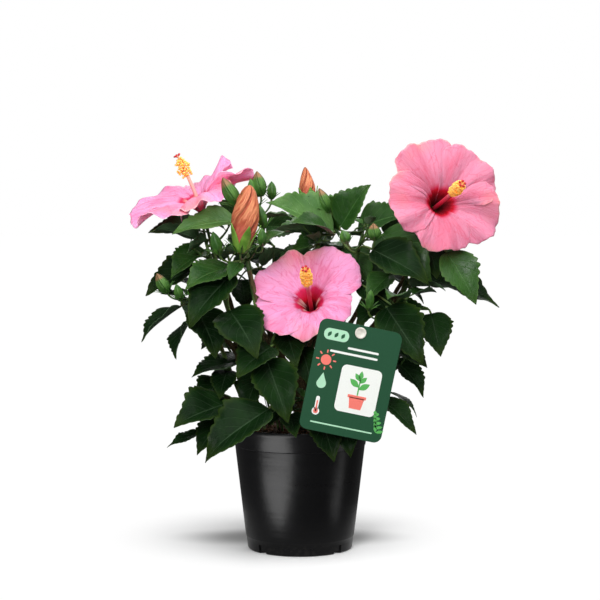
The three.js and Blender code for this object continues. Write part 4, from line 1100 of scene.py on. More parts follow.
def mottled(name, dark, light, scale, roughness, relief=0.0, **sockets):
    """Two colours in soft blotches, with a relief of the same grain."""
    finish = Finish(name, Roughness=roughness, **sockets)
    grain = finish.noise(scale, 5.0, roughness=0.6)
    finish.put(Base_Color=finish.mixed(grain.step(0.36, 0.66), dark, light))
    if relief:
        finish.bump(grain, relief)
    return finish.material


def bud_finish(name, folds, twist, painted_fold_shade, dark, light, base, tip, tip_start):
    """A folded bud: dark lines of painted shade that wind up it along its folds, fine streaks
    between, and other colours at its foot and tip."""
    finish = Finish(name, Roughness=0.5, Specular_IOR_Level=0.3)
    along, around, _ = finish.uv()
    wound = around + along * (twist / (2 * math.pi))
    body = abs((wound * folds + 0.5).fraction() - 0.5).step(0.0, 0.16)
    bent = wound * 5.0 + finish.noise(3.0, 2.0, finish.place(along, wound, 0.0)) * 1.2
    grain = finish.noise(7.0, 4.0, finish.place(along * 0.5, bent, 0.0), 0.6)
    streaked = finish.mixed(grain.step(0.36, 0.6), dark, light)
    footed = finish.mixed(1 - along.step(0.2, 0.5), streaked, base)
    tipped = finish.mixed(along.step(tip_start, tip_start + 0.16), footed, tip)
    # Painted shade: a darker colour along each fold.
    finish.put(Base_Color=finish.mixed((1 - body) * 0.6, tipped, painted_fold_shade))
    finish.bump(grain * 0.5 + body, 0.0012)
    return finish.material


def column_finish():
    """The column: red at its root, pale pink under the anthers."""
    finish = Finish("column", Roughness=0.45, Specular_IOR_Level=0.3)
    along, _, _ = finish.uv()
    finish.put(Base_Color=finish.ramp(
        along + (finish.noise(300.0) - 0.5) * 0.1,
        (0.0, (0.3, 0.006, 0.015)),
        (0.3, (0.62, 0.02, 0.06)),
        (0.52, (0.76, 0.07, 0.12)),
        (0.64, (0.88, 0.3, 0.32)),
        (0.8, (0.9, 0.4, 0.36)),
        (1.0, (0.95, 0.6, 0.24)),
    ))
    return finish.material


def pot_finish():
    """Moulded black plastic: satin, with faint flow marks round it and a dusty foot."""
    finish = Finish("pot_plastic", Specular_IOR_Level=0.16)
    x, y, height = finish.parts(finish.in_frame())
    flow = finish.noise(7.0, 4.0, finish.place(x, y, height * 26.0))
    speck = finish.noise(260.0, 2.0)
    dust = (1 - height.step(0.0, 0.02)) * speck.step(0.5, 0.7)
    finish.put(
        Base_Color=finish.mixed(dust * 0.25, (0.003, 0.003, 0.0033), (0.03, 0.027, 0.024)),
        Roughness=flow * 0.12 + speck * 0.04 + 0.22,
    )
    finish.bump(flow + speck * 0.3, 0.0002)
    return finish.material


def soil_finish():
    """Moist peat: dark crumbs with paler fibres."""
    finish = Finish("soil_peat", Roughness=0.95, Specular_IOR_Level=0.2)
    crumb = finish.cells(420.0, feature="F1")
    fibre = finish.noise(160.0, 6.0, roughness=0.7)
    dark = finish.mixed(fibre.step(0.4, 0.62), (0.018, 0.009, 0.005), (0.12, 0.056, 0.024))
    finish.put(Base_Color=finish.mixed(fibre.step(0.64, 0.72), dark, (0.34, 0.18, 0.08)))
    finish.bump(crumb * -0.7 + fibre, 0.0016)
    return finish.material


def bark_finish():
    """Young bark: green-brown with long streaks and pale pores."""
    finish = Finish("bark", Roughness=0.72, Specular_IOR_Level=0.3)
    along, around, _ = finish.uv()
    streak = finish.noise(3.0, 5.0, finish.place(along * 9.0, around * 5.0, 0.0), 0.65)
    pores = 1 - finish.cells(330.0, feature="F1").step(0.12, 0.26)
    body = finish.mixed(streak.step(0.35, 0.65), (0.05, 0.032, 0.014), (0.15, 0.115, 0.045))
    finish.put(Base_Color=finish.mixed(pores * 0.55, body, (0.3, 0.24, 0.15)))
    finish.bump(streak + pores * 0.4, 0.0007)
    return finish.material


def stem_finish():
    """Green shoots and stalks, with a reddish-brown flush in streaks."""
    finish = Finish("green_stem", Roughness=0.5, Specular_IOR_Level=0.35)
    flush = finish.noise(70.0, 3.0)
    green = finish.mixed(flush.step(0.4, 0.62), (0.045, 0.1, 0.022), (0.1, 0.17, 0.035))
    brown = finish.noise(26.0, 2.0).step(0.55, 0.7)
    finish.put(Base_Color=finish.mixed(brown * 0.6, green, (0.12, 0.075, 0.03)))
    finish.bump(flush, 0.0002)
    return finish.material


def card_finish(name, colour):
    """Print on plastic card: even colour with a little grain and a soft gloss."""
    finish = Finish(name, Specular_IOR_Level=0.2)
    grain = finish.noise(900.0, 2.0)
    shade = tuple(part * 0.9 for part in colour)
    finish.put(Base_Color=finish.mixed(grain, shade, colour), Roughness=grain * 0.08 + 0.34)
    finish.bump(grain, 0.00003)
    return finish.material


# Pot and soil


def wall_radius(height):
    return POT["foot"] + (POT["rim"] - POT["band_step"] - POT["foot"]) * height / POT["height"]


def pot_profile():
    """The pot's wall from the middle of its underside: up the outside and over the rim, and then
    down the inside. Gives the outer rows and the inner rows."""
    band, step, height, wall = POT["band_bottom"], POT["band_step"], POT["height"], POT["wall"]
    base, rim, foot, foot_step = POT["foot"], POT["rim"], POT["foot_band"], POT["foot_step"]
    notch, inside, soft = NOTCH["height"], POT["floor"], wall / 2
    outer = [(AXIS_GAP, 0), (20, 0), (base - 1.6, 0), (base - 0.5, 0.3), (base, 1.1)]
    outer += [(wall_radius(h), h) for h in np.linspace(1.6, notch - 0.05, 8)]
    outer += [(wall_radius(h), h) for h in (notch, foot - 0.6)]
    outer += [(wall_radius(foot) + foot_step * 0.7, foot)]
    outer += [(wall_radius(foot) + foot_step, foot + 0.8)]
    outer += [(wall_radius(h) + foot_step, h) for h in np.linspace(foot + 5, band - 1, 12)]
    outer += [(wall_radius(band) + foot_step, band - 0.1)]
    outer += arc(wall_radius(band) + step - 0.8, band + 0.9, 0.8, (-90, -60, -30, 0))
    outer += [(rim - 0.35, height - 4.5), (rim, height - 3.9)]
    outer += arc(rim - soft, height - soft, soft, np.linspace(0, 180, 9))
    inner = [(wall_radius(band) + step - wall, band + step), (wall_radius(band) - wall, band)]
    inner += [(wall_radius(inside) - wall, inside), (AXIS_GAP, inside)]
    return outer, inner


def pot_piece():
    """The wall's profile turned round Z. In each drainage notch the foot is drawn inwards."""
    outer, inner = pot_profile()
    rings = lathed(outer + inner, POT["segments"])
    angle = np.degrees(np.arctan2(rings[..., 1], rings[..., 0])) % 360
    half = math.degrees(NOTCH["width"] / 2 / POT["foot"])
    rows = np.arange(len(rings))[:, None]
    outside = (rows >= 2) & (rows < len(outer)) & (rings[..., 2] < NOTCH["height"] - 0.01)
    for turn in NOTCH["turns"]:
        cut = outside & (np.abs(angle - turn) < half)
        rings[cut, :2] *= 1 - NOTCH["depth"] / POT["foot"]
    patches = Patches()
    patches.tube(rings)
    return patches.piece("pot_body", [pot_finish()], "pot", "pot", sharp=50)


def lumps(x, y, rows):
    """A sum of slanted sine waves, each row being its steps along x and y, a shift and a height."""
    return sum(height * np.sin(a * x + b * y + shift) for a, b, shift, height in rows)


def soil_body(edge, inset, waves):
    """A profile inside the pot's wall, turned round Z, with lumps on its top."""
    top, band, bottom = SOIL["top"], POT["band_bottom"], POT["floor"] + CLEARANCE
    profile = [(AXIS_GAP, bottom), (wall_radius(bottom) - inset, bottom)]
    profile += [(wall_radius(band - 1) - inset, band - 1)]
    profile += [(wall_radius(band + 3) + POT["band_step"] - 0.4 - inset, band + 3)]
    profile += [(edge, top - 2), (edge, top - 0.6)]
    profile += [(radius, top) for radius in np.linspace(edge - 0.5, AXIS_GAP, 44)]
    rings = lathed(profile, 120)
    x, y = rings[..., 0], rings[..., 1]
    inside = ((edge - np.hypot(x, y)) / 6).clip(0, 1) * (rings[..., 2] > top - 0.1)
    rings[..., 2] += inside * lumps(x, y, waves) * SOIL["relief"]
    patches = Patches()
    patches.tube(rings)
    return patches


def soil_crumbs(edge, waves, rng):
    """Uneven six-sided grains of seeded sizes, spread evenly over the soil's top."""
    crumbs = Patches()
    for _ in range(SOIL["crumbs"]):
        size = rng.uniform(*SOIL["crumb_sizes"])
        distance = math.sqrt(rng.uniform(0, 1)) * (edge - 3)
        turn = rng.uniform(0, 2 * np.pi)
        x, y = distance * math.cos(turn), distance * math.sin(turn)
        height = SOIL["top"] + lumps(x, y, waves) * SOIL["relief"]
        middle = np.array([x, y, height + size * 0.15])
        axis = unit(rng.normal(size=3) * (1, 1, 0.4))
        lump = Curve(middle - axis * size, middle + axis * size)
        radii = size * np.array([0.25, 0.8, 0.75, 0.2])[:, None] * rng.uniform(0.75, 1.2, (4, 6))
        crumbs.tube(swept(lump, radii, 6, np.array([0, 0.3, 0.7, 1])))
    return crumbs


def soil_pieces():
    """The soil fills the pot, and crumbs lie on it."""
    rng = np.random.default_rng(7)
    ranges = ((-0.45, 0.45), (-0.45, 0.45), (0, 6.3), (0.1, 0.4))
    waves = np.column_stack([rng.uniform(low, high, SOIL["waves"]) for low, high in ranges])
    inset = POT["wall"] + CLEARANCE
    edge = wall_radius(SOIL["top"]) + POT["band_step"] - inset
    soil = soil_finish()
    soil_body(edge, inset, waves).piece("soil_body", [soil], "soil", "soil")
    soil_crumbs(edge, waves, rng).piece("soil_crumbs", [soil], "soil")


# Stems, boughs and twigs


def limb_rings(limb, number):
    """The limb's taper, with long ridges that wind a little and a swelling at each old leaf scar."""
    sides = 20
    length = limb.curve.length()
    t = np.linspace(0, 1, max(24, int(length / 1.6)))
    along, angle = (t * length)[:, None], circle(sides)[None]
    relief = 1 + sum(
        height * np.sin(turns * angle + climb * along + shifted * number)
        for height, turns, climb, shifted in BARK_WAVES
    )
    for k in range(int(length / SCARS["step"])):
        from_scar = (along - SCARS["first"] - SCARS["step"] * k) / SCARS["width"]
        facing = np.cos(angle - math.radians(GOLDEN_TURN) * k) * 0.5 + 0.5
        relief = relief + SCARS["height"] * np.exp(-(from_scar**2)) * facing**2
    return swept(limb.curve, limb.radius_at(t)[:, None] * relief, sides, t)


def limbs_piece(limbs):
    patches = Patches()
    for number, limb in enumerate(limbs.values()):
        patches.tube(limb_rings(limb, number))
    patches.piece("stems_and_boughs", [bark_finish()], "bark", *limbs)


# Twigs: how much a joint swells and how far along it, how much a stalk's ends swell, and the size
# of the stalks of young and fine leaves

TWIG = {"joint": 0.14, "joint_width": 1.2, "ends": 0.35, "young": 0.5, "fine": 0.78}


def twigs_piece(blooms, masses):
    """Shoots with a joint at each leaf, and stalks that swell at both ends."""
    patches = Patches()
    for mass in masses:
        for curve, radius_at in mass.shoots:
            t = np.linspace(-0.02, 1, 30)
            spacing = SPIRAL["spacing"]
            from_joint = ((t * curve.length()) % spacing - spacing / 2) / TWIG["joint_width"]
            swelling = 1 + TWIG["joint"] * np.exp(-(from_joint**2))
            patches.tube(swept(curve, radius_at(t) * swelling, 10, t))
        for _, stalk, rank in mass.leaves:
            t = np.linspace(0, 1, 9)
            radii = STALK["radius"] * TWIG.get(rank, 1) * (1 + TWIG["ends"] * (2 * t - 1) ** 4)
            patches.tube(swept(stalk, radii, 6, t))
        for _, _, stalk in mass.buds:
            t = np.linspace(0, 1, 10)
            patches.tube(swept(stalk, STALK["radius"] * (0.9 + 0.5 * t**3), 8, t))
    for bloom in blooms:
        t = np.linspace(-0.02, 1, 24)
        patches.tube(swept(bloom.twig, SHOOT["radius"] * (0.8 + 0.3 * t**4), 10, t))
    patches.piece("twigs", [stem_finish()], "foliage", *MASS_NAMES)


# Leaves


# A blade's relief. Heights are in millimetres on a leaf of the usual length, shares are of the
# blade's reach or length, and pairs are ranges that a leaf's own chance picks from.

BLADE = {
    "usual_length": 60, "body": 0.94, "tooth": 0.15, "tooth_steps": (0, 0.5, 0.9, 1),
    "tooth_sizes": (0.4, 1.2), "quilt": 0.3, "furrow": 0.7, "furrow_width": 0.1,
    "wave": (1.0, 2.6), "waves": (1.3, 2.4), "twist": 0.16, "curl": 0.07, "curl_from": 0.62,
    "bow": 0.1, "fold": (0.06, 0.5), "half_thickness": 0.26, "thinner": 0.1,
}


def toothed(u, from_rib, rng):
    """The share of the reach at each place. Teeth of four stations each, of uneven sizes, step the
    margin out beyond the foot."""
    sizes = rng.uniform(*BLADE["tooth_sizes"], len(u) - 1)
    station = np.arange(len(u))
    steps = len(BLADE["tooth_steps"])
    step_out = np.array(BLADE["tooth_steps"])[station % steps] * sizes[station // steps]
    tooth = BLADE["tooth"] * step_out[:, None] * ((u - 0.2) / 0.2).clip(0, 1) * (u < 0.97)
    return BLADE["body"] + tooth * from_rib**4


def blade(patches, leaf, seed, stations, lanes):
    """The leaf's surface as two skins. Its margin is toothed, paired side veins press furrows into
    it, its halves fold up from the rib, and the margin waves up and down."""
    rng = np.random.default_rng(seed)
    across = np.sin(np.linspace(-1, 1, lanes + 1) * np.pi / 2)
    u, v = grid(np.linspace(0, 1, stations + 1), across)
    from_rib, middle = np.abs(v), np.sin(np.pi * u)
    size = leaf.length / BLADE["usual_length"]
    reach = np.maximum(leaf.reach(u) * toothed(u, from_rib, rng), 0.25)
    veins = np.cos(2 * np.pi * (vein_phase(u, from_rib) - 0.5))
    quilt = veins * BLADE["quilt"] * size * np.sin(np.pi * from_rib**0.8)
    furrow = -BLADE["furrow"] * size * np.exp(-((v / BLADE["furrow_width"]) ** 2)) * (1 - u)
    waves = []
    for _ in range(2):
        height = rng.uniform(*BLADE["wave"]) * size
        waves.append(height * np.sin(2 * np.pi * (rng.uniform(*BLADE["waves"]) * u + rng.uniform())))
    margin = np.where(v < 0, *waves) * from_rib**2.2 * middle**0.5
    twist = rng.uniform(-BLADE["twist"], BLADE["twist"]) * v * reach * u
    beyond = (u - BLADE["curl_from"]).clip(0) / (1 - BLADE["curl_from"])
    curl = -rng.uniform(0, BLADE["curl"]) * leaf.length * beyond**2
    bow = -BLADE["bow"] * leaf.half_width * v**2 * middle
    raised = (from_rib - 0.35) * reach * np.sin(np.pi * u.clip(0, 0.9)) ** 0.5
    lift = quilt + furrow + margin + twist + curl + bow + rng.uniform(*BLADE["fold"]) * raised
    half = (BLADE["half_thickness"] - BLADE["thinner"] * from_rib) * max(size, 0.6)
    top, bottom = (leaf.surface(u, v, lift + part, reach) for part in (half, -half))
    patches.slab(top, bottom, u, v, (0, 1))


# The greens: name, body, blotches, roughness and gloss. The deep green, with its low gloss, is
# painted shade, and the mid and bright greens are painted light, given out by where a leaf lies.

TINTS = [
    ("deep", (0.0024, 0.0115, 0.0022), (0.0068, 0.025, 0.0048), 0.26, 0.055),
    ("mid", (0.0115, 0.048, 0.0065), (0.027, 0.086, 0.012), 0.26, 0.22),
    ("bright", (0.04, 0.118, 0.022), (0.076, 0.172, 0.04), 0.26, 0.26),
    ("fresh", (0.045, 0.15, 0.018), (0.08, 0.22, 0.03), 0.3, 0.26),
]


def leaf_tint(leaf, rank, number):
    """Young leaves are fresh. Of the rest, those that lie high up and to the front are more often
    bright or mid green, and the low, the inner and the far right ones deep: painted light and painted
    shade by where a leaf lies."""
    if rank == "young":
        return 3
    x, y, z = leaf.rib(np.array([0.5]))[0]
    # Painted light and shade: the tint follows how high, how far forward and how far right the leaf
    # lies.
    light = (z - 240) / 95 - (y + 40) / 300 - max(x - 120, 0) / 160
    share = (number * 0.618) % 1
    if share < light - 0.5:
        return 2
    return 1 if share < light + 0.2 else 0


def leaf_pieces(masses):
    """A piece for each green, with the backs alike. Leaves that show have finer meshes."""
    patches = [Patches() for _ in TINTS]
    leaves = [(leaf, rank) for mass in masses for leaf, _, rank in mass.leaves]
    for number, (leaf, rank) in enumerate(leaves, 1):
        stations, lanes = {"shown": (40, 12), "spiral": (36, 8)}.get(rank, (24, 6))
        blade(patches[leaf_tint(leaf, rank, number)], leaf, number, stations, lanes)
    under = leaf_under("leaf_back", (0.07, 0.15, 0.065), (0.12, 0.22, 0.1))
    for made, (tint, *look) in zip(patches, TINTS):
        upper = leaf_upper("leaf_" + tint, *look)
        made.piece("leaves_" + tint, [upper, under], "foliage", *MASS_NAMES)


# Buds


# Bracts and sepals: how far they lean out, bend and hollow, and how thick they are

BRACT = {"lean": 0.7, "bend": 0.25, "hollow": 0.25, "narrowest": 0.08, "half_thickness": 0.22}
SEPAL = {"overlap": 1.25, "gap": 0.45, "skins": (0.3, -0.2)}


def bract(patches, foot, heading, facing, length, width):
    """A narrow pointed blade whose width falls as a half sine, bending back towards its tip."""
    u, v = grid(np.linspace(0, 1, 9), np.linspace(-1, 1, 3))
    side = crossed(heading, facing)
    out = square_to(facing, heading)
    half = np.maximum(width / 2 * np.sin(np.pi * (0.22 + 0.78 * u)) ** 0.8, BRACT["narrowest"])
    bend = BRACT["bend"] * length * u**2
    hollow = BRACT["hollow"] * half * (1 - v**2)
    middle = foot + heading * (length * u)[..., None] + out * bend[..., None]
    point = middle + side * (v * half)[..., None] - out * hollow[..., None]
    skin = out * BRACT["half_thickness"]
    patches.slab(point + skin, point - skin, u, v)


def around_axis(axis):
    """An axis's direction and two more, all square to each other."""
    heading = axis.tangent(0)
    across = square_to(np.array([0.3, 1, 0.1]), heading)
    return heading, across, np.cross(heading, across)


def bracts_round(patches, axis, foot, count, length, width, radius):
    """A ring of bracts round a foot on an axis, all leaning out."""
    heading, across, over = around_axis(axis)
    for angle in circle(count):
        out = spoke(across, over, angle)
        start = foot + out * radius - heading * 0.5
        bract(patches, start, unit(heading + out * BRACT["lean"]), out, length, width)


# The rolled bud's outline: places from its foot to its tip, and its share of the full width there

ROLLED = {
    "places": (0, 0.06, 0.22, 0.37, 0.52, 0.65, 0.75, 0.91, 0.97, 1),
    "widths": (0.3, 0.5, 0.7, 0.92, 1, 0.93, 0.8, 0.5, 0.3, 0.08),
    "folds": 4, "twist": -2.6,
}


def egg_shape(t, blunt=0.86):
    """An egg's outline, drawn out to its tip: a skewed sine."""
    return np.sin(np.pi * t.clip(0.012, 0.988) ** blunt) ** 0.72


def rolled_shape(t):
    """A blunt swelling body, from widths at places along it."""
    return np.interp(t, ROLLED["places"], ROLLED["widths"])


def slim_shape(t):
    """The same body, drawn in towards its tip."""
    return rolled_shape(t) * (1 - 0.45 * t**2)


def rolled_body(axis, width, shape):
    """Petals rolled into a bud: a swelling body whose edges wind up it as steep folds, each with
    a few finer wrinkles beside it."""
    t, angle = np.linspace(0, 1, 60)[:, None], circle(72)[None]
    turns = ROLLED["folds"] * (angle + ROLLED["twist"] * t) / (2 * np.pi)
    step_up = turns % 1
    fold = np.minimum(step_up / 0.85, (1 - step_up) / 0.15)
    wrinkle = np.sin(2 * np.pi * (4 * turns + 0.3 * np.sin(6 * t)))
    relief = 0.88 + 0.1 * fold**0.6 + 0.02 * wrinkle
    return swept(axis, width / 2 * shape(t) * relief, 72, t[:, 0])


def bud_body(axis, width, folds, depth, twist, blunt):
    """An egg drawn out to its tip: the radius is a skewed sine along it, with folds that wind
    round as it climbs."""
    t, angle = np.linspace(0, 1, 26)[:, None], circle(40)[None]
    ridge = 1 - depth * np.abs(np.sin(folds / 2 * (angle + twist * t)))
    return swept(axis, width / 2 * egg_shape(t, blunt) * ridge, 40, t[:, 0])


def sepals(patches, axis, width, reach, shape=egg_shape, flare=0.0, slot=0, lobe=(1.9, 0.62)):
    """Five lobes that hug a bud from its foot to a share of its length. Each narrows towards its
    tip by the lobe's two powers."""
    heading, across, over = around_axis(axis)
    length = np.linalg.norm(axis.at(1) - axis.at(0))
    u, v = grid(np.linspace(0.02, 1, 14), np.linspace(-1, 1, 7))
    t = u * reach
    half_turn = math.pi / 5 * SEPAL["overlap"] * (1 - u ** lobe[0]).clip(0.001) ** lobe[1]
    radius = width / 2 * shape(t) * (1 + 0.05 * (1 - v**2)) + SEPAL["gap"] + flare * u**3
    middle = axis.at(0) + heading * (t * length)[..., None]
    for start in circle(5):
        out = spoke(across, over, start + v * half_turn)
        skins = (middle + out * (radius + part)[..., None] for part in SEPAL["skins"])
        patches.slab(*skins, u, v, (slot, slot))


def buds(masses):
    """Wide buds show their rolled petals above the sepals, and small ones are all green. Gives the
    greens, the rolled and the tipped ones."""
    green, rolled, tipped = Patches(), Patches(), Patches()
    for mass in masses:
        for axis, width, _ in mass.buds:
            length = np.linalg.norm(axis.at(1) - axis.at(0))
            if width > 18:
                shape, reach = (slim_shape, 0.5) if length < 50 else (rolled_shape, 0.44)
                rolled.tube(rolled_body(axis, width, shape))
                sepals(green, axis, width * 0.98, reach, shape, 1.6, 1, (1.5, 1.05))
            elif width > 13:
                tipped.tube(bud_body(axis, width, 5, 0.18, 0.5, 0.8))
            else:
                green.tube(bud_body(axis, width, 5, 0.2, 0.2, 0.85))
            long = min(0.55 * length, 17)
            bracts_round(green, axis, axis.at(0), 9, long, 1.8, width * 0.17)
    return green, rolled, tipped


def bud_pieces(green, rolled, tipped):
    """The greens of buds and blooms, and the buds, each kind in its own finish."""
    sepal = mottled("sepal_green", (0.025, 0.092, 0.012), (0.07, 0.19, 0.026), 120.0, 0.5, 0.0002)
    lime = mottled("sepal_lime", (0.09, 0.22, 0.02), (0.2, 0.38, 0.05), 90.0, 0.5, 0.0003)
    green.piece("bud_greens", [sepal, lime], "foliage", *MASS_NAMES)
    peach = bud_finish(
        "bud_peach", ROLLED["folds"], ROLLED["twist"],
        (0.3, 0.03, 0.02), (0.42, 0.075, 0.036), (0.64, 0.24, 0.11), (0.6, 0.12, 0.1),
        (0.55, 0.17, 0.08), 0.8,
    )
    rolled.piece("buds_rolled", [peach], "blossom", *MASS_NAMES)
    tan = bud_finish(
        "bud_tan", 5, 0.5, (0.03, 0.09, 0.015), (0.035, 0.11, 0.018), (0.085, 0.2, 0.034),
        (0.04, 0.12, 0.018), (0.28, 0.15, 0.07), 0.66,
    )
    tipped.piece("buds_tipped", [tan], "foliage", *MASS_NAMES)


# Blooms


# The ruffles of a petal's edge as waves: height, radians across, radians along and the power of
# the way along at which each one rises. Its bays and rounding are shares of its length, and the
# heights on its face are in millimetres.

RUFFLES = [(2.6, 4.5, 0, 3), (1.5, 11, 2, 6), (0.7, 23, 0, 12)]
EDGE = {"bays": 0.014, "small_bays": 0.006, "rounding": 0.12, "fringe": 0.005}
FACE = {"ribs": 0.22, "pleats": 0.9, "cupping": 1.6, "half_thickness": 0.3, "thinner": 0.12}


def petal_slab(patches, bloom, petal, droop, rng):
    """The petal's surface as two skins. Towards its edge it ruffles in waves of three lengths, its
    edge is cut by shallow bays, and low ribs fan out along it. Plain petals lie closer together
    than their solids do."""
    s, q = grid(np.linspace(0, 1, 44), np.linspace(-1, 1, 41))
    shift = rng.uniform(0, 6.3, 5)
    ruffle = sum(
        height * np.sin(across * q + along * s + start) * s**power
        for (height, across, along, power), start in zip(RUFFLES, shift)
    )
    ribs = FACE["ribs"] * np.sin(26 * q + 2 * np.sin(5 * s)) * s * (1 - s**6)
    pleats = np.sin(10 * q + 1.4 * np.sin(4 * s) + shift[2]) * np.sin(np.pi * s.clip(0, 0.94)) ** 2
    curl = -droop * s**3 - FACE["cupping"] * (len(petal) == 2) * q * s
    bays = EDGE["bays"] * (1 + np.sin(6 * q + shift[3]))
    small_bays = EDGE["small_bays"] * (1 + np.sin(17 * q + shift[4]))
    rounding = EDGE["rounding"] * np.abs(q) ** 6 + EDGE["fringe"] * np.sin(37 * q + shift[0])
    length = 1 - (bays + small_bays + rounding) * s**4
    lift = ruffle * bloom.plan["ruffle"] + ribs + FACE["pleats"] * pleats + curl
    half = FACE["half_thickness"] - FACE["thinner"] * s
    top, bottom = (bloom.petal_point(petal, s, q, lift + part, length) for part in (half, -half))
    patches.slab(top, bottom, s, q, (0, 1))


# The column's brush: where it starts and how long it is as shares of the column, its threads, the
# grains at their ends, and the five styles with their pads beyond the column's tip. A tone is the
# place on the column whose colour a thing takes.

BRUSH = {"from": 0.66, "length": 0.3, "thread": 0.2, "thread_tone": 0.92, "climb": (0.5, 2.2)}
GRAIN = {"half_length": 1.1, "radii": (0.5, 1.2, 1.25, 0.5), "sizes": (0.85, 1.15)}
STYLE = {"from": 0.97, "bend": 3, "climb": 4.6, "out": 2.6, "radius": 0.42, "tone": 0.95}
PAD = {"half_length": 0.9, "radii": (0.4, 1.25, 1.4, 1.15, 0.4)}


def off_column(heading, turn):
    """The direction square to the column at a turn round it, and the one that turns start from."""
    across = square_to(UP + 0.3, heading)
    return spoke(across, np.cross(heading, across), turn), across


def grain_on(patches, middle, along, shape, sides, size=1.0):
    """A small round body of that shape, lying along a direction."""
    reach = along * shape["half_length"]
    patches.tube(swept(Curve(middle - reach, middle + reach), np.array(shape["radii"]) * size, sides))


def anther(bloom, share, turn, rng, threads, anthers):
    """A plump grain at the end of a fine thread, at a share of the way up the brush. Threads are
    longest halfway up."""
    _, nearest, furthest, *_ = bloom.plan["brush"]
    t = BRUSH["from"] + BRUSH["length"] * share
    foot, heading = bloom.column.at(t), bloom.column.tangent(t)
    out, across = off_column(heading, turn)
    reach = rng.uniform(nearest, furthest) * (0.72 + 0.32 * math.sin(math.pi * share))
    tip = foot + out * reach + heading * rng.uniform(*BRUSH["climb"])
    thread = Curve(foot, foot + out * reach * 0.6, tip)
    tone = np.full((4, 4, 2), BRUSH["thread_tone"])
    threads.tube(swept(thread, np.full(4, BRUSH["thread"]), 4), tone)
    grain_on(anthers, tip, across, GRAIN, 7, rng.uniform(*GRAIN["sizes"]))


def style(bloom, turn, styles, pads):
    """A short stalk that leans out beyond the column's tip and ends in a round pad."""
    tip, heading = bloom.column.at(STYLE["from"]), bloom.column.tangent(1)
    out, _ = off_column(heading, turn)
    end = tip + heading * STYLE["climb"] + out * STYLE["out"]
    stalk = Curve(tip, tip + heading * STYLE["bend"], end)
    tone = np.full((6, 6, 2), STYLE["tone"])
    styles.tube(swept(stalk, np.full(6, STYLE["radius"]), 6), tone)
    grain_on(pads, end, heading, PAD, 10)


def column_parts(bloom, rng, stalks, anthers, pads):
    """Anthers stand on fine threads round the column's upper part, each a golden turn on, and
    five styles end in round pads beyond its tip."""
    count, _, _, core, pale = bloom.plan["brush"]
    t = np.linspace(0, STYLE["from"], 30)
    tone = np.broadcast_to((pale + (1 - pale) * t)[:, None, None], (30, 14, 2))
    body = COLUMN["root"] + (COLUMN["radius"] * 0.75 - COLUMN["root"]) * t
    stalks.tube(swept(bloom.column, body, 14, t), tone)
    if core:
        swelling = core + 0.6 * np.sin(np.pi * np.linspace(0, 1, 9))
        anthers.tube(swept(bloom.column, swelling, 12, np.linspace(0.67, 0.955, 9)))
    for k in range(count):
        anther(bloom, k / count, math.radians(GOLDEN_TURN) * k, rng, stalks, anthers)
    for turn in circle(5):
        style(bloom, turn, stalks, pads)


def petals_piece(bloom, rng, finishes):
    petals = Patches()
    for petal, droop in zip(bloom.plan["petals"], bloom.plan["droop"]):
        petal_slab(petals, bloom, petal, droop, rng)
    name = bloom.name.replace("bloom", "petals")
    return petals.piece(name, finishes, "blossom", bloom.name)


def bloom_pieces(blooms, green):
    """Petals for each bloom, and one piece each for all columns, anthers and pads. The petals are
    given back."""
    rose = petal_finish(
        "petal_rose", (0.66, 0.222, 0.335), (0.6, 0.05, 0.12), (0.74, 0.23, 0.19), 1.0, 0.0
    )
    pink = petal_finish(
        "petal_pink", (0.8, 0.31, 0.54), (0.62, 0.02, 0.1), (0.8, 0.26, 0.2), 0.62, 1.0
    )
    back = petal_back("petal_back", (0.97, 0.32, 0.46), (0.8, 0.1, 0.16))
    stalks, anthers, pads = Patches(), Patches(), Patches()
    pieces = []
    for bloom in blooms:
        rng = np.random.default_rng(bloom.plan["seed"])
        face = rose if bloom.name == "bloom_right" else pink
        pieces.append(petals_piece(bloom, rng, [face, back]))
        column_parts(bloom, rng, stalks, anthers, pads)
        sepals(green, bloom.calyx, CALYX["radius"] * 2, 0.98)
        bracts_round(green, bloom.calyx, bloom.calyx.at(0.05), 7, 13, 2.2, 2.2)
    names = [bloom.name for bloom in blooms]
    soft = {"Subsurface_Weight": 0.6, "Subsurface_Scale": 0.002, "Subsurface_Radius": (1.0, 0.6, 0.3)}
    # Painted light: the anthers glow orange to fill the shade between them.
    glow = {"Emission_Color": (1.0, 0.36, 0.03), "Emission_Strength": 0.2}
    yellow = mottled("anther", (1.0, 0.43, 0.07), (1.0, 0.68, 0.21), 700.0, 0.7, **soft, **glow)
    red = mottled("stigma", (0.42, 0.008, 0.01), (0.62, 0.02, 0.02), 900.0, 0.6)
    stalks.piece("bloom_columns", [column_finish()], "blossom", *names)
    anthers.piece("bloom_anthers", [yellow], "blossom", *names)
    pads.piece("bloom_stigmas", [red], "blossom", *names)
    return pieces


# Care tag and peg


def rounded_box(width, height, corner, middle=(0, 0)):
    """A box's outline with round corners, run round from the lower right."""
    x, y = width / 2 - corner, height / 2 - corner
    points = []
    for sx, sy, start in ((1, -1, -90), (1, 1, 0), (-1, 1, 90), (-1, -1, 180)):
        turn = np.radians(start + np.linspace(0, 90, 9))
        points.append(np.stack([sx * x + corner * np.cos(turn), sy * y + corner * np.sin(turn)], 1))
    return np.concatenate(points) + middle


def finer(outline, longest):
    """The same closed outline with its long sides cut into short ones."""
    made = []
    for a, b in zip(outline, np.roll(outline, -1, axis=0)):
        count = max(1, math.ceil(np.linalg.norm(b - a) / longest))
        made += [a + (b - a) * k / count for k in range(count)]
    return np.array(made)


# The card's rings: share of the way from the hole's edge to the card's, how far it is set in, and
# how far it stands ahead of the face. They run out over the face to its edge, and the same rows
# turned round make the back.

CARD_FACE = [(0, 0, -0.1), (0, -0.1, 0), (0.3, 0, 0), (0.7, 0, 0), (1, 0.12, 0), (1, 0, -0.12)]


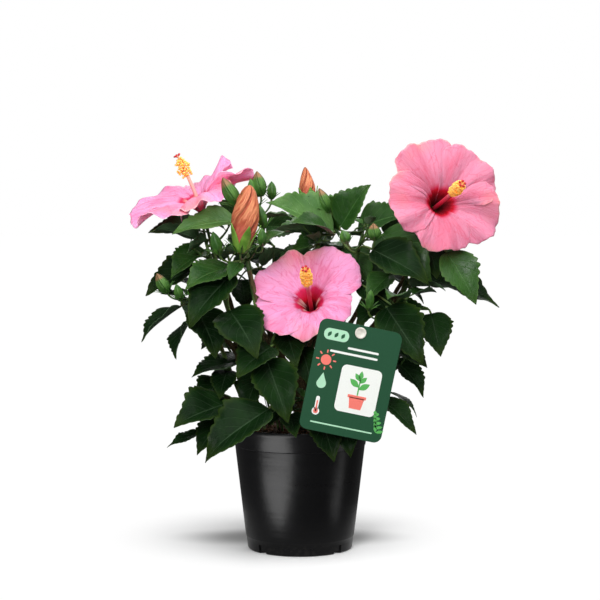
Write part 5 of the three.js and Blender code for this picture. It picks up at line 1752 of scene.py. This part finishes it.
def card_piece():
    """The card as rings, where each point of the outline has its own point on the hole, in its own
    direction."""
    outline = finer(rounded_box(TAG["width"], TAG["height"], TAG["corner"]), 3)
    direction = unit(outline - (0, TAG["hole_up"]))
    inner = (0, TAG["hole_up"]) + direction * TAG["hole_radius"]
    face = [(share, inset, TAG["thickness"] + ahead) for share, inset, ahead in CARD_FACE]
    behind = [(share, inset, -ahead) for share, inset, ahead in CARD_FACE[::-1]]
    patches = Patches()
    patches.ring(np.array([
        tag_place(*(inner + (outline - inner) * share - direction * inset).T, ahead)
        for share, inset, ahead in face + behind
    ]))
    green = card_finish("tag_green", (0.0165, 0.074, 0.035))
    patches.piece("tag_card", [green], "care_tag", "care_tag", sharp=35)


def disc(x, y, radius):
    turn = circle(40)
    return np.stack([x + radius * np.cos(turn), y + radius * np.sin(turn)], axis=1)


def turned(outline, angle, x, y):
    """An outline turned by an angle in degrees and moved to a place."""
    c, s = math.cos(math.radians(angle)), math.sin(math.radians(angle))
    return outline @ np.array([[c, s], [-s, c]]) + (x, y)


def leaf_mark(length, width):
    """A pointed oval along X: its half width is a half sine."""
    t = np.linspace(0, 1, 18)
    half = width / 2 * np.sin(np.pi * t)
    upper = np.stack([t * length, half], axis=1)
    return np.concatenate([upper, np.stack([t * length, -half], axis=1)[-2:0:-1]])


def drop_mark(radius):
    """A round drop drawn out to a point above."""
    turn = np.radians(np.linspace(-215, 35, 30))
    return np.concatenate([radius * np.stack([np.cos(turn), np.sin(turn)], 1), [[0, radius * 2.3]]])


INKS = {
    "white": (0.84, 0.86, 0.82), "mint": (0.42, 0.72, 0.5), "coral": (0.86, 0.2, 0.16),
    "leaf": (0.1, 0.42, 0.1), "deep": (0.02, 0.1, 0.045),
}


def sprout_marks():
    """A white panel with a potted sprout of five leaves."""
    x, y = 9, -8
    yield "white", rounded_box(39, 45, 5, (x, y)), 1
    yield "coral", np.array([[-7.5, 0], [7.5, 0], [5.6, -11], [-5.6, -11]], float) + (x, y - 7), 2
    yield "coral", rounded_box(18, 3, 0.8, (x, y - 6.4)), 2
    yield "leaf", rounded_box(1.3, 16, 0.5, (x, y + 3)), 2
    for angle, up, size in ((35, 1, 12), (145, 3, 12), (50, 7, 9), (130, 9, 9), (90, 10, 9)):
        yield "leaf", turned(leaf_mark(size, size * 0.48), angle, x, y + up), 2


def sun_marks():
    x, y = -27, 15
    yield "coral", disc(x, y, 5), 1
    for k in range(8):
        yield "coral", turned(rounded_box(3.2, 1.3, 0.6, (8.2, 0)), 45 * k, x, y), 1


def gauge_marks():
    """A warmth gauge: a white tube and bulb, and a coral thread and bulb in them."""
    x, bulb = -27, -35
    yield "white", rounded_box(3.6, 15, 1.8, (x, bulb + 7)), 1
    yield "white", disc(x, bulb, 3.6), 1
    yield "coral", rounded_box(1.5, 11, 0.7, (x, bulb + 5)), 2
    yield "coral", disc(x, bulb, 2.3), 2


def label_marks():
    """A mint label with three small leaves, a drop, three stripes and a sprig."""
    yield "mint", rounded_box(24, 11, 5, (-22, 40)), 1
    for x in (-28.5, -22, -15.5):
        yield "deep", turned(leaf_mark(6, 3.2), 62, x - 1.5, 37.3), 2
    yield "mint", drop_mark(4.6) + (-27, -8), 1
    for x, y, width in ((6, 30, 30), (-2, 24.5, 46)):
        yield "white", rounded_box(width, 2.1, 1, (x, y)), 1
    yield "mint", rounded_box(60, 1.4, 0.7, (0, -45.5)), 1
    for k in range(5):
        for side in (1, -1):
            x, y = 33 - k * 0.9, -44 + k * 4.2
            yield "leaf", turned(leaf_mark(8 - k, 3), 60 + side * 42, x, y), 2


def print_pieces():
    """Flat marks on the card, a piece for each ink. A mark is its ink, its outline and its layer."""
    marks = [*sprout_marks(), *sun_marks(), *gauge_marks(), *label_marks()]
    for ink, colour in INKS.items():
        patches = Patches()
        for outline, layer in [mark[1:] for mark in marks if mark[0] == ink]:
            depths = (TAG["thickness"] - 0.1, TAG["thickness"] + 0.03 + 0.05 * layer)
            patches.tube(np.array([tag_place(*outline.T, depth) for depth in depths]))
        finish = card_finish("ink_" + ink, colour)
        patches.piece("tag_print_" + ink, [finish], "care_tag", sharp=35)


def peg_head():
    """Two profiles that are turned round the tag's hole: the head before it, and the flange behind
    it with the neck that goes through."""
    head, high, flange, neck = PEG["head"], PEG["head_depth"], PEG["flange"], PEG["neck"]
    base = TAG["thickness"] + CLEARANCE
    back = -CLEARANCE - PEG["flange_depth"]
    front = [
        (AXIS_GAP, base - 0.2), (head * 0.7, base), (head, base), (head, base + high * 0.6),
        (head * 0.93, base + high), (head * 0.7, base + high), (head * 0.62, base + high * 0.7),
        (AXIS_GAP, base + high * 0.7),
    ]
    behind = [
        (AXIS_GAP, back), (flange - 0.3, back), (flange, -CLEARANCE - 1.2), (flange, -CLEARANCE),
        (neck, -CLEARANCE), (neck, base), (AXIS_GAP, base),
    ]
    return front, behind


def peg_piece(limbs):
    """A low round head and its flange on the tag's hole, an arm that bends back and a ring round
    the bough."""
    hole = tag_place(0, TAG["hole_up"], 0)
    patches = Patches()
    for profile in peg_head():
        x, z, ahead = np.moveaxis(lathed(profile, 48), -1, 0)
        patches.tube(np.stack([hole[0] + x, hole[1] - ahead, hole[2] + z], axis=-1))
    bough, along = limbs["bough_right_mid"], PEG["along"]
    grip, tangent = bough.curve.at(along), bough.curve.tangent(along)
    tube = PEG["arm"] * 0.8
    ring_radius = bough.radius_at(along) + 3.5 * CLEARANCE + tube
    outward = square_to(hole - grip, tangent)
    around = spoke(outward, np.cross(tangent, outward), circle(36))
    section = circle(12)
    patches.ring(
        grip + around[:, None] * (ring_radius + tube * np.cos(section))[None, :, None]
        + tangent * (tube * np.sin(section))[None, :, None]
    )
    end = grip + outward * ring_radius
    start = hole - FRONT * (CLEARANCE + PEG["flange_depth"] - 0.5)
    arm = Curve(start, start - FRONT * 0.5 * np.linalg.norm(end - start), end)
    patches.tube(swept(arm, np.full(20, float(PEG["arm"])), 14))
    pale = mottled("peg_plastic", (0.6, 0.57, 0.5), (0.74, 0.71, 0.64), 160.0, 0.42, 0.0001)
    patches.piece("peg", [pale], "tag_peg", "tag_peg", sharp=40)


# Stage: floor, lights and camera

# The stage's tones, and its lights: place, aim, width and height in metres, and power

# Among the floor's tones is a painted contact shadow: a dull grey in an ellipse round the pot's foot,
# squashed in depth, that fades to white between two radii.
FLOOR = {
    "half": 8.0, "drop": 0.0003, "middle": (-0.01, 0.05), "narrow": 6.0, "painted_shadow_fade": (0.045, 0.14),
    "painted_shadow": 0.36, "fade": (0.06, 0.21), "white": 0.9, "grey": 0.08, "surround": 0.2,
}
LIGHTS = [
    ("overhead", (0.2, -0.5, 1.4), (0, 0, 0), (1.6, 1.3), 23.5),
    ("key", (-0.45, -1.75, 0.9), (0, 0, 0.25), (0.55, 0.55), 23),
    ("fill_right", (1.2, -1.1, 0.6), (0, 0, 0.2), (0.5, 0.9), 5),
    ("back", (0.3, 1.6, 0.9), (0, 0, 0.25), (1.3, 1.1), 11),
]
LEFT_BLOOM_LIGHTS = [("left_bloom_low", (-0.12, -1.25, 0.05), (-0.1, 0, 0.33), (0.6, 0.3), 10)]
FRONT_BLOOM_LIGHTS = [("front_bloom_low", (-0.3, -1.2, 0.15), (0.01, 0, 0.25), (0.6, 0.4), 3.2)]
POT_LIGHTS = [
    ("pot_left", (-0.16, -0.25, 0.004), (-0.16, -0.25, 1), (0.2, 0.3), 1.65),
    ("pot_right", (0.32, -0.08, 0.004), (0.32, -0.08, 1), (0.4, 0.05), 0.16),
]


def placed(name, data):
    """A new object of that data, in the scene."""
    obj = bpy.data.objects.new(name, data)
    bpy.context.scene.collection.objects.link(obj)
    return obj


def area_light(name, place, aim, size, power):
    """A soft box light at a place, turned towards an aim, both in metres."""
    light = bpy.data.lights.new(name, "AREA")
    light.shape = "RECTANGLE"
    light.size, light.size_y = size
    light.energy = power
    obj = placed(name, light)
    obj.location = place
    direction = np.array(aim, float) - np.array(place, float)
    pan = math.atan2(direction[0], -direction[1])
    tilt = math.atan2(np.hypot(*direction[:2]), -direction[2])
    obj.rotation_euler = (tilt, 0, pan + math.pi)
    return obj


def floor_finish():
    """A painted contact shadow of dull grey by the foot, white near the pot, where the cast shadows
    fall on it, and glowing further off.
    """
    finish = Finish("studio_floor", Roughness=0.9, Specular_IOR_Level=0.05, Emission_Strength=1.0)
    x, y, _ = finish.parts(finish.in_frame())
    x, y = x - FLOOR["middle"][0], y - FLOOR["middle"][1]
    far = ((x * x + y * y) ** 0.5).step(*FLOOR["fade"])
    painted_shadow_fade = ((x * x + y * y * FLOOR["narrow"]) ** 0.5).step(*FLOOR["painted_shadow_fade"])
    painted_shadow, white, grey = ((FLOOR[tone],) * 3 for tone in ("painted_shadow", "white", "grey"))
    black = (0.0, 0.0, 0.0)
    glow = finish.mixed(finish.seen(), grey, (1.0, 1.0, 1.0))
    # Painted shadow: the base colour is a dull grey in an ellipse by the foot.
    finish.put(Base_Color=finish.mixed(far, finish.mixed(painted_shadow_fade, painted_shadow, white), black))
    finish.put(Emission_Color=finish.mixed(far, black, glow))
    return finish.material


def floor():
    mesh = bpy.data.meshes.new("floor")
    half = FLOOR["half"]
    corners = [(-half, -half, 0), (half, -half, 0), (half, half, 0), (-half, half, 0)]
    mesh.from_pydata(corners, [], [(0, 1, 2, 3)])
    mesh.materials.append(floor_finish())
    obj = placed("floor", mesh)
    obj.location = (0, 0, -FLOOR["drop"])


def surroundings():
    """The camera sees plain white. All else is lit by a dimmer grey."""
    world = bpy.data.worlds.new("studio")
    bpy.context.scene.world = world
    world.use_nodes = True
    nodes = Nodes(world.node_tree)
    background = nodes.tree.nodes["Background"]
    dim = FLOOR["surround"]
    nodes.feed(background.inputs["Strength"], nodes.seen() * (1 - dim) + dim)
    nodes.feed(background.inputs["Color"], (1.0, 1.0, 1.0))


def view():
    camera = bpy.data.cameras.new("camera")
    camera.lens = CAMERA["lens"]
    camera.sensor_width = CAMERA["sensor"]
    obj = placed("camera", camera)
    obj.location = CAMERA["place"]
    obj.rotation_euler = (math.radians(90 - CAMERA["pitch"]), 0, 0)
    bpy.context.scene.camera = obj
    bpy.context.scene.view_settings.view_transform = "Standard"


def stage():
    floor()
    surroundings()
    for light in LIGHTS:
        area_light(*light)
    view()


def light_alone(lights, piece):
    """Panels whose glow falls on this piece alone."""
    lit = bpy.data.collections.new("lit_by_" + lights[0][0])
    lit.objects.link(piece)
    for row in lights:
        light = area_light(*row)
        light.light_linking.receiver_collection = lit
        light.visible_camera = False


# Assembly

stage()
limbs, blooms, masses = grow()
light_alone(POT_LIGHTS, pot_piece())
soil_pieces()
limbs_piece(limbs)
twigs_piece(blooms, masses)
leaf_pieces(masses)
green, rolled, tipped = buds(masses)
left, front, _ = bloom_pieces(blooms, green)
light_alone(LEFT_BLOOM_LIGHTS, left)
light_alone(FRONT_BLOOM_LIGHTS, front)
bud_pieces(green, rolled, tipped)
card_piece()
print_pieces()
peg_piece(limbs)
